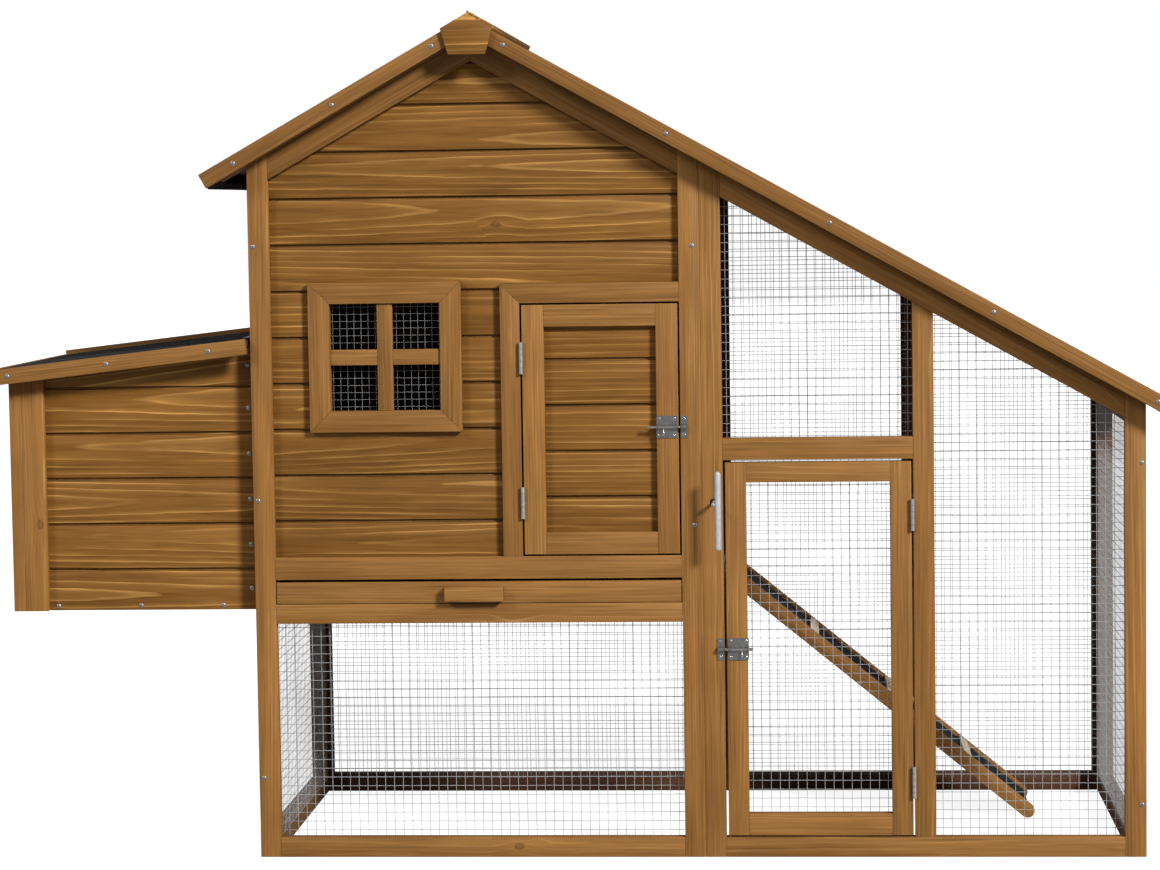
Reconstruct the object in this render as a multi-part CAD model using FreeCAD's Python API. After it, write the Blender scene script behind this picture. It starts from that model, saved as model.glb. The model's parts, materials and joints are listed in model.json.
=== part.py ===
import FreeCAD, Part
import math
import os

# Timber chicken coop: a gabled house with a nest box on its left and a wire run on its right,
# under one roof whose right slope carries on over the run.
# Shop frame, millimetres: X from the left post's outer face, Y from the front face into the depth,
# Z up from the ground. The finished model is moved so its origin is the bottom centre of its box.

# ---------------------------------------------------------------- driving dimensions
# body
BODY_LENGTH = 1540.0        # left post's outer face to right post's outer face
BODY_DEPTH = 650.0          # front face to back face of the frames
HOUSE_LENGTH = 781.4        # the house part of the body length
FRAME_T = 22.0              # thickness of front, back, partition and nest frames
SIDE_T = 27.0               # thickness of the two side panels
POST_W = 36.0
STILE_W = 36.0              # upright of a side panel or the partition
BOTTOM_RAIL_W = 35.0
FLOOR_RAIL_Z = 412.0        # underside of the rail below the tray
FLOOR_RAIL_W = 34.0
TRAY_SLOT_H = 43.0
SILL_RAIL_W = 39.0
PANEL_RAIL_W = 36.0

# cladding
BOARD_T = 9.0
BOARD_PITCH = 80.0
FIRST_BOARD = 65.0          # height of the lowest board on the house front
GROOVE_H = 5.0              # height of the shadow gap of the shiplap
TONGUE_T = 4.0
MESH_T = 1.0
MESH_LAP = 10.0             # how far a mesh sheet laps on to its frame
MESH_CLEAR = 0.5

# roof
ROOF_PITCH = 29.3
RIDGE_Z = 1457.5            # top line of the bargeboards at the ridge
BARGE_DEPTH = 27.0          # square to the slope; the walls stop at this depth
BARGE_T = 18.0
ROOF_OVERHANG = 40.0        # in front of and behind the frames
EAVE_OVERHANG = 77.0
DECK_TOP = 3.0              # depth of the roof boards' top below the bargeboards' top
DECK_T = 9.0
FELT_T = 2.0
BATTEN_W = 22.0
EAVE_BATTEN_W = 18.0
SLOPED_RAIL_W = 37.0
RIDGE_BEAM_H = 45.0
RIDGE_STRIP_W = 46.0        # board strip on the left of the ridge
RIDGE_STRIP_T = 4.0
RIDGE_FLAP_W = 50.5         # board strip on the right of the ridge
RIDGE_FLAP_T = 9.0
RIDGE_CAP_T = 8.0
RIDGE_CAP_RISE = 5.0
RIDGE_CAP_HALF_W = 45.0
RIDGE_CAP_SHOULDER = 20.5
RIDGE_CAP_HALF_FOOT = 32.0
RIDGE_CAP_DROP = 65.0

# window
WINDOW_INSET = 66.0         # from the left post to the window frame
WINDOW_Z = 746.0
WINDOW_W = 266.0
WINDOW_H = 260.0
WINDOW_FRAME_W = 37.0
WINDOW_BAR_W = 27.0
WINDOW_BAR_T = 9.0
WINDOW_BAR_SETBACK = 4.0

# house door
HOUSE_DOOR_BAY = 275.4      # jamb to post
HOUSE_DOOR_H = 432.5
SURROUND_W = 34.0
HINGE_GAP = 3.2             # gap on a door's hinge side
DOOR_GAP = 3.0              # gap on its other sides
HOUSE_DOOR_STILE = 38.0
DOOR_BOARD_PITCH = 79.5
DOOR_FIRST_BOARD = 63.5
DOOR_BOARD_SETBACK = 12.0

# run
RUN_DOOR_BAY = 326.6        # post to post
TRANSOM_Z = 692.0
TRANSOM_W = 38.0
RUN_DOOR_STILE = 36.0
RUN_DOOR_TOP_RAIL = 35.0
RUN_DOOR_FOOT_RAIL = 38.0

# door hardware
HINGE_LENGTH = 55.0
HINGE_KNUCKLES = 5
KNUCKLE_R = 3.5
PIN_R = 1.5
PIN_CLEARANCE = 0.05
KNUCKLE_GAP = 0.5
LEAF_T = 1.2
LEAF_W = 17.0
HINGE_STAND_OFF = 4.2       # pin axis in front of the door face
HOUSE_HINGE_HEIGHTS = (90.0, 341.0)     # hinge centres above the door's foot
RUN_HINGE_HEIGHTS = (92.5, 557.5)
BOLT_R = 2.5
BOLT_PLATE_W = 36.0
BOLT_PLATE_H = 38.5
BOLT_PLATE_T = 1.2
BOLT_KEEP_W = 12.0
BOLT_PLATE_INSET = 2.0      # plate's edge from the door's edge
BOLT_TUNNEL = 6.0
BOLT_STRAP_T = 1.6
BOLT_GUIDE_W = 4.5
BOLT_TIP_GAP = 0.6          # bolt tip to keep, drawn back
BOLT_LEVER_W = 6.0
BOLT_LEVER_DROP = 16.0
HOUSE_BOLT_LENGTH = 57.0
HOUSE_BOLT_HEIGHT = 219.7   # bolt axis above the door's foot
RUN_BOLT_LENGTH = 50.0
RUN_BOLT_HEIGHT = 326.2

# tray
TRAY_GAP = 1.5              # beside the tray front
TRAY_HEAD_GAP = 4.5
TRAY_FOOT_GAP = 1.0
TRAY_FRONT_T = 15.0
TRAY_PAN_WALL = 1.2
TRAY_PAN_H = 28.0
TRAY_SIDE_GAP = 6.0
TRAY_BACK_GAP = 18.0
TRAY_HANDLE_W = 103.0
TRAY_HANDLE_H = 25.0
TRAY_HANDLE_T = 18.0
TRAY_HANDLE_SHIFT = -6.0
RUNNER_H = 14.0
RUNNER_TO_PAN = 0.5
RUNNER_INSET = 24.0

# partition, pop door and its pull
DOORWAY_W = 200.0
DOORWAY_H = 301.0
DOORWAY_BACK = 100.0        # from the back face of the frames to the doorway
JAMB_W = 16.0
POP_DOOR_T = 9.0
POP_DOOR_LAP = 10.0
POP_DOOR_GAP = 1.5
TRACK_LIP_T = 6.0
TRACK_LIP_H = 12.0
TRACK_BASE_H = 7.0
POP_DOOR_TRAVEL = 215.0
PULL_ROD_R = 3.0
PULL_HOLE_R = 7.0
PULL_X = 20.0               # from the house's end, into the run's first post
PULL_Z = 619.0
PULL_STAND_OFF = 42.0
PULL_GRIP_H = 137.0
PULL_GRIP_R = 5.5
PULL_GRIP_DROP = 80.0       # grip's foot below the rod
PULL_GRIP_SHIFT = 8.0
PULL_BRACKET_W = 30.0
PULL_BRACKET_H = 24.0

# ramp
RAMP_W = 200.0
RAMP_ANGLE = 39.3
RAMP_LINE_RISE = 17.0       # ramp's top line above the doorway sill, at the partition
RAMP_PIN_X = 26.6           # hinge pin from the partition's face
RAMP_PIN_S = 8.0            # hinge pin above the ramp's upper end, along the slope
RAMP_PIN_D = 13.0           # hinge pin below the ramp's top, square to the slope
RAMP_FELT_T = 1.5
RAMP_DECK_T = 5.0
RAMP_SIDE_D = 25.5
RAMP_SIDE_W = 14.0
RAMP_RECESS = 6.0           # felt below the top of the ramp's sides
RAMP_FOOT_CLEAR = 0.4
RAMP_PIN_R = 3.0
RAMP_STRAP_T = 2.5
RAMP_STRAP_W = 14.0
RAMP_STRAP_L = 52.0
RAMP_EAR_T = 3.0
RAMP_EAR_GAP = 8.0
RAMP_CLEATS = 4
CLEAT_W = 20.0
CLEAT_FIRST = 10.0
CLEAT_PITCH = 180.0

# perches
PERCH_R = 12.0
PERCH_Z = 640.0
PERCH_PLACES = (190.0, 400.0)
PERCH_CLEARANCE = 0.3
CRADLE_W = 44.0
CRADLE_T = 18.0
CRADLE_H = 40.0

# nest box
NEST_LENGTH = 433.0
NEST_SETBACK = 20.0         # nest walls behind the house's front and in front of its back
NEST_FLOOR_Z = 434.0
NEST_FLOOR_T = 12.0
NEST_POST_W = 39.0
NEST_FIRST_BOARD = 74.4
NEST_DIVIDER_T = 12.0
NEST_DIVIDER_H = 330.0
NEST_HEADER_W = 62.0
LID_PITCH = 6.36
LID_TOP_Z = 911.9           # lid's top line at the house wall
LID_END_GAP = 6.0
LID_END_X = -478.0
LID_OVERHANG = 40.0
LID_TRIM_T = 15.0
LID_BACK_RISE = 7.0         # back trim above the rest of the lid
LID_REST_GAP = 0.3
LID_LEAF_W = 30.0
LID_HINGE_INSET = 120.0

# screws
SCREW_R = 3.6
SCREW_H = 1.4
SCREW_INSET = 8.0
BARGE_SCREW_HEAD = 78.0       # first screw from the ridge
BARGE_SCREW_FOOT = 62.0       # last screw from the eave

# ---------------------------------------------------------------- derived lines
tan_p = math.tan(math.radians(ROOF_PITCH))
sin_p = math.sin(math.radians(ROOF_PITCH))
cos_p = math.cos(math.radians(ROOF_PITCH))
tan_l = math.tan(math.radians(LID_PITCH))
sin_l = math.sin(math.radians(LID_PITCH))
cos_l = math.cos(math.radians(LID_PITCH))
sin_r = math.sin(math.radians(RAMP_ANGLE))
cos_r = math.cos(math.radians(RAMP_ANGLE))

RIDGE_X = HOUSE_LENGTH / 2
BACK_Y = BODY_DEPTH - FRAME_T                       # inner face of the back frame
POST_LEFT = (0.0, POST_W)
POST_HOUSE = (HOUSE_LENGTH - POST_W, HOUSE_LENGTH)
POST_RUN = (HOUSE_LENGTH, HOUSE_LENGTH + POST_W)
POST_DOOR = (POST_RUN[1] + RUN_DOOR_BAY, POST_RUN[1] + RUN_DOOR_BAY + POST_W)
POST_RIGHT = (BODY_LENGTH - POST_W, BODY_LENGTH)
POSTS = (POST_LEFT, POST_HOUSE, POST_RUN, POST_DOOR, POST_RIGHT)

FLOOR_RAIL_TOP = FLOOR_RAIL_Z + FLOOR_RAIL_W
SILL_Z = FLOOR_RAIL_TOP + TRAY_SLOT_H
SIDING_Z = SILL_Z + SILL_RAIL_W
RAIL_FOOT_DEPTH = BARGE_DEPTH + SLOPED_RAIL_W       # depth of the sloped rails' lower edge
LEFT_SLOPE = (RIDGE_X + EAVE_OVERHANG) / cos_p
RIGHT_SLOPE = (BODY_LENGTH + EAVE_OVERHANG - RIDGE_X) / cos_p

PARTITION_X1 = HOUSE_LENGTH - 2.0
PARTITION_X0 = PARTITION_X1 - FRAME_T
DOORWAY_Y1 = BODY_DEPTH - DOORWAY_BACK
DOORWAY_Y0 = DOORWAY_Y1 - DOORWAY_W
DOORWAY_TOP = SILL_Z + DOORWAY_H

WINDOW_X0 = POST_W + WINDOW_INSET
WINDOW_X1 = WINDOW_X0 + WINDOW_W
JAMB_X1 = POST_HOUSE[0] - HOUSE_DOOR_BAY
JAMB_X0 = JAMB_X1 - SURROUND_W
HOUSE_DOOR_X0 = JAMB_X1 + HINGE_GAP
HOUSE_DOOR_X1 = POST_HOUSE[0] - DOOR_GAP
HOUSE_DOOR_Z0 = SIDING_Z + DOOR_GAP
HOUSE_DOOR_Z1 = HOUSE_DOOR_Z0 + HOUSE_DOOR_H
HEAD_Z0 = HOUSE_DOOR_Z1 + DOOR_GAP
RUN_DOOR_X0 = POST_RUN[1] + DOOR_GAP + 1.0
RUN_DOOR_X1 = POST_DOOR[0] - HINGE_GAP
RUN_DOOR_Z0 = BOTTOM_RAIL_W + DOOR_GAP
RUN_DOOR_Z1 = TRANSOM_Z - DOOR_GAP - 1.0

NEST_Y0 = NEST_SETBACK
NEST_Y1 = BODY_DEPTH - NEST_SETBACK
LID_Y0 = NEST_Y0 - LID_OVERHANG
LID_Y1 = NEST_Y1 + LID_OVERHANG


# ---------------------------------------------------------------- solids
def box(x0, x1, y0, y1, z0, z1):
    """A box between two corners."""
    return Part.makeBox(x1 - x0, y1 - y0, z1 - z0, FreeCAD.Vector(x0, y0, z0))


def prism_xz(points, y0, y1):
    """An outline in X and Z, drawn out from y0 to y1."""
    corners = [FreeCAD.Vector(x, y0, z) for x, z in points]
    face = Part.Face(Part.makePolygon(corners + corners[:1]))
    return face.extrude(FreeCAD.Vector(0, y1 - y0, 0))


def prism_yz(points, x0, x1):
    """An outline in Y and Z, drawn out from x0 to x1."""
    corners = [FreeCAD.Vector(x0, y, z) for y, z in points]
    face = Part.Face(Part.makePolygon(corners + corners[:1]))
    return face.extrude(FreeCAD.Vector(x1 - x0, 0, 0))


def rod(start, direction, radius, length):
    """A round bar from a start point."""
    return Part.makeCylinder(radius, length, FreeCAD.Vector(*start), FreeCAD.Vector(*direction))


def fused(first, *others):
    """One solid from several that touch."""
    return first.fuse(list(others)).removeSplitter()


def solids_of(shape):
    """The separate solids of a boolean result."""
    return [solid for solid in shape.Solids if solid.Volume > 1.0]


# ---------------------------------------------------------------- roof geometry
def roof_z(x, depth):
    """Height, at x, of the surface that lies depth below the roof's top."""
    return RIDGE_Z - abs(x - RIDGE_X) * tan_p - depth / cos_p


def slope_point(side, along, depth):
    """Point on a slope: side -1 left or +1 right, distance down the slope, depth square to it."""
    x = RIDGE_X + side * (along * cos_p - depth * sin_p)
    return (x, RIDGE_Z - along * sin_p - depth * cos_p)


def slope_bar(side, s0, s1, d0, d1, y0, y1):
    """A bar on one slope; an s0 of None starts it at the ridge's upright plane."""
    start = (d0 * tan_p, d1 * tan_p) if s0 is None else (s0, s0)
    outline = [slope_point(side, start[0], d0), slope_point(side, s1, d0),
               slope_point(side, s1, d1), slope_point(side, start[1], d1)]
    return prism_xz(outline, y0, y1)


def under_roof(x0, x1, z0, depth, y0, y1):
    """An upright piece from z0 up to the surface at a depth below the roof."""
    tops = [(x1, roof_z(x1, depth))]
    if x0 < RIDGE_X < x1:
        tops.append((RIDGE_X, roof_z(RIDGE_X, depth)))
    tops.append((x0, roof_z(x0, depth)))
    return prism_xz([(x0, z0), (x1, z0)] + tops, y0, y1)


def sloped_rail(x0, x1, d0, d1, y0, y1):
    """A rail that follows the roof between two uprights."""
    outline = [(x0, roof_z(x0, d1)), (x1, roof_z(x1, d1)), (x1, roof_z(x1, d0)), (x0, roof_z(x0, d0))]
    return prism_xz(outline, y0, y1)


# ---------------------------------------------------------------- nest lid geometry
def lid_point(along, depth):
    """Point on the nest lid: distance down its slope from the house wall, depth square to it."""
    return (-along * cos_l + depth * sin_l, LID_TOP_Z - along * sin_l - depth * cos_l)


def lid_bar(s0, s1, d0, d1, y0, y1):
    """A bar that lies in the nest lid's slope."""
    outline = [lid_point(s0, d0), lid_point(s1, d0), lid_point(s1, d1), lid_point(s0, d1)]
    return prism_xz(outline, y0, y1)


def lid_z(x, depth):
    """Height, at x, of the surface that lies depth below the nest lid's top."""
    return LID_TOP_Z + x * tan_l - depth / cos_l


# ---------------------------------------------------------------- cladding
def board_rows(z0, z1, first, pitch):
    """Bottom and top of each board from z0 to z1, the lowest one `first` high."""
    rows = [(z0, min(z0 + first, z1))]
    while rows[-1][1] < z1 - GROOVE_H:
        rows.append((rows[-1][1], min(rows[-1][1] + pitch, z1)))
    return rows


def shiplap_x(x0, x1, z0, z1, face_y, back_y, last=False):
    """A shiplap board along X, its tongue up behind the next board's groove."""
    shoulder = z1 if last else z1 - GROOVE_H
    inward = 1.0 if back_y > face_y else -1.0
    tongue_y = back_y - inward * TONGUE_T
    outline = [(face_y, z0), (back_y, z0), (back_y, z1), (tongue_y, z1), (tongue_y, shoulder), (face_y, shoulder)]
    if last:
        outline = [(face_y, z0), (back_y, z0), (back_y, z1), (face_y, z1)]
    return prism_yz(outline, x0, x1)


def shiplap_y(y0, y1, z0, z1, face_x, back_x, last=False):
    """A shiplap board along Y."""
    shoulder = z1 if last else z1 - GROOVE_H
    inward = 1.0 if back_x > face_x else -1.0
    tongue_x = back_x - inward * TONGUE_T
    outline = [(face_x, z0), (back_x, z0), (back_x, z1), (tongue_x, z1), (tongue_x, shoulder), (face_x, shoulder)]
    if last:
        outline = [(face_x, z0), (back_x, z0), (back_x, z1), (face_x, z1)]
    return prism_xz(outline, y0, y1)


def clipped(boards, region, holes):
    """Boards cut to a region and around the frames set into them."""
    pieces = []
    for board in boards:
        shape = board.common(region)
        for hole in holes:
            shape = shape.cut(hole)
        pieces.extend(solids_of(shape))
    return pieces


# ---------------------------------------------------------------- hardware
def knuckle_spans():
    """Start and end of each knuckle along a hinge's pin."""
    step = HINGE_LENGTH / HINGE_KNUCKLES
    return [(i * step + KNUCKLE_GAP / 2, (i + 1) * step - KNUCKLE_GAP / 2) for i in range(HINGE_KNUCKLES)]


def hinge_half(moving, plate_low, plate_high, plate_start, plate_end, tongue_start):
    """Half a hinge with its pin along local +Z from the origin.

    The leaf lies from plate_low to plate_high in local X and runs out along local +Y.
    The fixed half holds the pin; the moving half turns on it.
    """
    pieces = []
    for index, (z0, z1) in enumerate(knuckle_spans()):
        if (index % 2 == 1) == moving:
            pieces.append(rod((0, 0, z0), (0, 0, 1), KNUCKLE_R, z1 - z0))
            pieces.append(box(plate_low, plate_high, tongue_start, plate_start + 1.0, z0, z1))
    pieces.append(box(plate_low, plate_high, plate_start, plate_end, KNUCKLE_GAP, HINGE_LENGTH - KNUCKLE_GAP))
    half = pieces[0].fuse(pieces[1:])
    if moving:
        half = half.cut(rod((0, 0, -1), (0, 0, 1), PIN_R + PIN_CLEARANCE, HINGE_LENGTH + 2))
    else:
        half = half.fuse(rod((0, 0, 0), (0, 0, 1), PIN_R, HINGE_LENGTH))
    return half.removeSplitter()


def door_hinge(moving, x, z_centre, side):
    """A butt hinge half in a door's gap; side +1 puts the moving leaf on the +X side of the pin."""
    sign = side if moving else -side
    near = HINGE_GAP / 2 - 0.1 - LEAF_T
    low, high = sorted((sign * near, sign * (near + LEAF_T)))
    half = hinge_half(moving, low, high, HINGE_STAND_OFF + 1.0, HINGE_STAND_OFF + LEAF_W, KNUCKLE_R - 1.1)
    half.translate(FreeCAD.Vector(x, -HINGE_STAND_OFF, z_centre - HINGE_LENGTH / 2))
    return half


def bolt_staple(x0, x1, z, face_y):
    """The legs and bridge of a staple that a bolt runs through."""
    half = BOLT_TUNNEL / 2
    front = face_y - BOLT_TUNNEL
    return [box(x0, x1, front, face_y, z + half, z + half + BOLT_STRAP_T),
            box(x0, x1, front, face_y, z - half - BOLT_STRAP_T, z - half),
            box(x0, x1, front - BOLT_STRAP_T, front, z - half - BOLT_STRAP_T, z + half + BOLT_STRAP_T)]


def bolt_set(door_edge, post_edge, outward, z, length):
    """Plate, keep and sliding bolt; outward is +1 where the keep lies at greater X than the door."""
    edge = door_edge - outward * BOLT_PLATE_INSET
    inner = edge - outward * BOLT_PLATE_W
    face_y = -BOLT_PLATE_T
    plate = [box(min(edge, inner), max(edge, inner), face_y, 0.0, z - BOLT_PLATE_H / 2, z + BOLT_PLATE_H / 2)]
    for start in (edge, inner + outward * BOLT_GUIDE_W):
        end = start - outward * BOLT_GUIDE_W
        plate.extend(bolt_staple(min(start, end), max(start, end), z, face_y))
    near = post_edge + outward * 0.5
    far = near + outward * BOLT_KEEP_W
    keep = [box(min(near, far), max(near, far), face_y, 0.0, z - BOLT_PLATE_H / 2, z + BOLT_PLATE_H / 2)]
    keep.extend(bolt_staple(min(near, far), max(near, far), z, face_y))
    tip = near - outward * BOLT_TIP_GAP
    axis_y = face_y - BOLT_TUNNEL / 2
    bar = rod((tip, axis_y, z), (-outward, 0, 0), BOLT_R, length)
    middle = inner + outward * (BOLT_GUIDE_W + 4.5 + BOLT_LEVER_W / 2)
    lever = box(middle - BOLT_LEVER_W / 2, middle + BOLT_LEVER_W / 2, axis_y - 1.6, axis_y + 1.6,
                z - BOLT_LEVER_DROP, z)
    return plate, keep, fused(bar, lever)


def screw_head(x, y, z, direction):
    """A low round screw head standing on a face that looks along direction in Y."""
    return Part.makeCone(SCREW_R, SCREW_R * 0.6, SCREW_H, FreeCAD.Vector(x, y, z), FreeCAD.Vector(0, direction, 0))


# ---------------------------------------------------------------- the assembly
nodes = {}


def add(name, pieces):
    """File a list of solids under a node's name."""
    nodes.setdefault(name, []).extend(pieces)


def frame_posts(y0, y1):
    """Posts of the front or back frame; the door post stands on the bottom rail."""
    posts = [under_roof(x0, x1, 0.0, BARGE_DEPTH, y0, y1) for x0, x1 in POSTS if (x0, x1) != POST_DOOR]
    posts.append(under_roof(POST_DOOR[0], POST_DOOR[1], BOTTOM_RAIL_W, RAIL_FOOT_DEPTH, y0, y1))
    return posts


def frame_rails(y0, y1):
    """Rails that the front and back frames share."""
    rails = [box(POST_LEFT[1], POST_HOUSE[0], y0, y1, 0.0, BOTTOM_RAIL_W),
             box(POST_RUN[1], POST_RIGHT[0], y0, y1, 0.0, BOTTOM_RAIL_W),
             box(POST_LEFT[1], POST_HOUSE[0], y0, y1, FLOOR_RAIL_Z, FLOOR_RAIL_TOP)]
    for x0, x1 in ((POST_LEFT[1], RIDGE_X), (RIDGE_X, POST_HOUSE[0]), (POST_RUN[1], POST_RIGHT[0])):
        rails.append(sloped_rail(x0, x1, BARGE_DEPTH, RAIL_FOOT_DEPTH, y0, y1))
    return rails


def build_frames():
    """Posts and rails of the front and back frames."""
    post_run_hole = rod((HOUSE_LENGTH + PULL_X, -1, PULL_Z), (0, 1, 0), PULL_HOLE_R, FRAME_T + 2)
    front_posts = frame_posts(0.0, FRAME_T)
    add("front_posts", [solids_of(post.cut(post_run_hole))[0] for post in front_posts])
    add("back_posts", frame_posts(BACK_Y, BODY_DEPTH))
    add("front_rails", frame_rails(0.0, FRAME_T))
    add("front_rails", [box(POST_LEFT[1], POST_HOUSE[0], 0.0, FRAME_T, SILL_Z, SIDING_Z),
                        box(POST_RUN[1], POST_DOOR[0], 0.0, FRAME_T, TRANSOM_Z, TRANSOM_Z + TRANSOM_W)])
    add("back_rails", frame_rails(BACK_Y, BODY_DEPTH))


def build_window():
    """Mitred window frame with crossing bars, wire behind."""
    x0, x1, z0, z1, w = WINDOW_X0, WINDOW_X1, WINDOW_Z, WINDOW_Z + WINDOW_H, WINDOW_FRAME_W
    outlines = ([(x0, z0), (x1, z0), (x1 - w, z0 + w), (x0 + w, z0 + w)],
                [(x0, z1), (x1, z1), (x1 - w, z1 - w), (x0 + w, z1 - w)],
                [(x0, z0), (x0 + w, z0 + w), (x0 + w, z1 - w), (x0, z1)],
                [(x1, z0), (x1 - w, z0 + w), (x1 - w, z1 - w), (x1, z1)])
    add("window_frame", [prism_xz(outline, 0.0, FRAME_T) for outline in outlines])
    middle_x = (x0 + x1) / 2
    middle_z = (z0 + z1) / 2
    half = WINDOW_BAR_W / 2
    y0 = WINDOW_BAR_SETBACK
    y1 = y0 + WINDOW_BAR_T
    add("window_frame", [box(middle_x - half, middle_x + half, y0, y1, z0 + w, z1 - w),
                         box(x0 + w, middle_x - half, y0, y1, middle_z - half, middle_z + half),
                         box(middle_x + half, x1 - w, y0, y1, middle_z - half, middle_z + half)])
    add("window_mesh", [box(x0 + w - MESH_LAP, x1 - w + MESH_LAP, FRAME_T, FRAME_T + MESH_T,
                            z0 + w - MESH_LAP, z1 - w + MESH_LAP)])


def build_door_surround():
    """Jamb and head around the house door, mitred at their corner."""
    top = HEAD_Z0 + SURROUND_W
    jamb = [(JAMB_X0, SIDING_Z), (JAMB_X1, SIDING_Z), (JAMB_X1, HEAD_Z0), (JAMB_X0, top)]
    head = [(JAMB_X0, top), (JAMB_X1, HEAD_Z0), (POST_HOUSE[0], HEAD_Z0), (POST_HOUSE[0], top)]
    add("door_surround", [prism_xz(jamb, 0.0, FRAME_T), prism_xz(head, 0.0, FRAME_T)])


def build_wall_boards():
    """Shiplap of the house's front and back."""
    x0, x1 = POST_LEFT[1], POST_HOUSE[0]
    gable = under_roof(x0, x1, 0.0, RAIL_FOOT_DEPTH, -1.0, BODY_DEPTH + 1.0)
    peak = roof_z(RIDGE_X, RAIL_FOOT_DEPTH)
    window = box(WINDOW_X0, WINDOW_X1, 0, FRAME_T, WINDOW_Z, WINDOW_Z + WINDOW_H)
    door = box(JAMB_X0, x1, 0, FRAME_T, SIDING_Z, HEAD_Z0 + SURROUND_W)
    front = [shiplap_x(x0, x1, z0, z1, FRAME_T - BOARD_T, FRAME_T)
             for z0, z1 in board_rows(SIDING_Z, peak, FIRST_BOARD, BOARD_PITCH)]
    add("front_boards", clipped(front, gable, [window, door]))
    first_back = SIDING_Z + FIRST_BOARD - FLOOR_RAIL_TOP - BOARD_PITCH
    back = [shiplap_x(x0, x1, z0, z1, BACK_Y + BOARD_T, BACK_Y)
            for z0, z1 in board_rows(FLOOR_RAIL_TOP, peak, first_back, BOARD_PITCH)]
    add("back_boards", clipped(back, gable, []))


def build_frame_mesh():
    """Flat wire sheets behind the front and back frames' openings."""
    low = BOTTOM_RAIL_W - MESH_LAP
    house_x0 = max(POST_LEFT[1] - MESH_LAP, SIDE_T + MESH_CLEAR)
    house_x1 = min(POST_HOUSE[0] + MESH_LAP, PARTITION_X0 - MESH_CLEAR)
    bay = (POST_DOOR[1] - MESH_LAP, min(POST_RIGHT[0] + MESH_LAP, BODY_LENGTH - SIDE_T - MESH_T - MESH_CLEAR))
    door_bay = (POST_RUN[1] - MESH_LAP, POST_DOOR[0] + MESH_LAP)
    depth = RAIL_FOOT_DEPTH - MESH_LAP
    for name, y0, y1, door_foot in (("front_mesh", FRAME_T, FRAME_T + MESH_T, TRANSOM_Z + TRANSOM_W - MESH_LAP),
                                    ("back_mesh", BACK_Y - MESH_T, BACK_Y, low)):
        add(name, [box(house_x0, house_x1, y0, y1, low, FLOOR_RAIL_Z + MESH_LAP),
                   under_roof(door_bay[0], door_bay[1], door_foot, depth, y0, y1),
                   under_roof(bay[0], bay[1], low, depth, y0, y1)])


def side_panel(x0, x1, rails):
    """Stiles and rails of a panel between the front and back frames; the top rail meets the roof."""
    y0, y1 = FRAME_T, BACK_Y
    pieces = [under_roof(x0, x1, 0.0, BARGE_DEPTH, y0, y0 + STILE_W),
              under_roof(x0, x1, 0.0, BARGE_DEPTH, y1 - STILE_W, y1)]
    pieces.extend(box(x0, x1, y0 + STILE_W, y1 - STILE_W, z0, z1) for z0, z1 in rails)
    foot = min(roof_z(x0, BARGE_DEPTH), roof_z(x1, BARGE_DEPTH)) - PANEL_RAIL_W
    pieces.append(under_roof(x0, x1, foot, BARGE_DEPTH, y0 + STILE_W, y1 - STILE_W))
    return pieces, foot


def build_left_side():
    """House's left panel: wire below, an opening into the nest box, boards above it."""
    header = (LID_TOP_Z - BARGE_DEPTH, LID_TOP_Z - BARGE_DEPTH + NEST_HEADER_W)
    rails = [(0.0, PANEL_RAIL_W), (FLOOR_RAIL_Z, FLOOR_RAIL_TOP), (SILL_Z, SIDING_Z), header]
    pieces, foot = side_panel(0.0, SIDE_T, rails)
    add("left_side_frame", pieces)
    y0, y1 = FRAME_T + STILE_W, BACK_Y - STILE_W
    face = SIDE_T / 2
    lip = shiplap_y(y0, y1, FLOOR_RAIL_TOP, SILL_Z, face, face + BOARD_T, last=True)
    rows = board_rows(header[1], foot, BOARD_PITCH, BOARD_PITCH)
    upper = [shiplap_y(y0, y1, z0, z1, face, face + BOARD_T, last=(z1 == foot)) for z0, z1 in rows]
    add("left_side_boards", [lip] + upper)
    add("left_side_mesh", [box(SIDE_T, SIDE_T + MESH_T, y0 - MESH_LAP, y1 + MESH_LAP,
                               PANEL_RAIL_W - MESH_LAP, FLOOR_RAIL_Z + MESH_LAP)])


def build_right_side():
    """Run's right panel, wire all over."""
    x0 = BODY_LENGTH - SIDE_T
    pieces, foot = side_panel(x0, BODY_LENGTH, [(0.0, PANEL_RAIL_W)])
    add("right_side_frame", pieces)
    add("right_side_mesh", [box(x0 - MESH_T, x0, FRAME_T + STILE_W - MESH_LAP, BACK_Y - STILE_W + MESH_LAP,
                                PANEL_RAIL_W - MESH_LAP, foot + MESH_LAP)])


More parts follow.
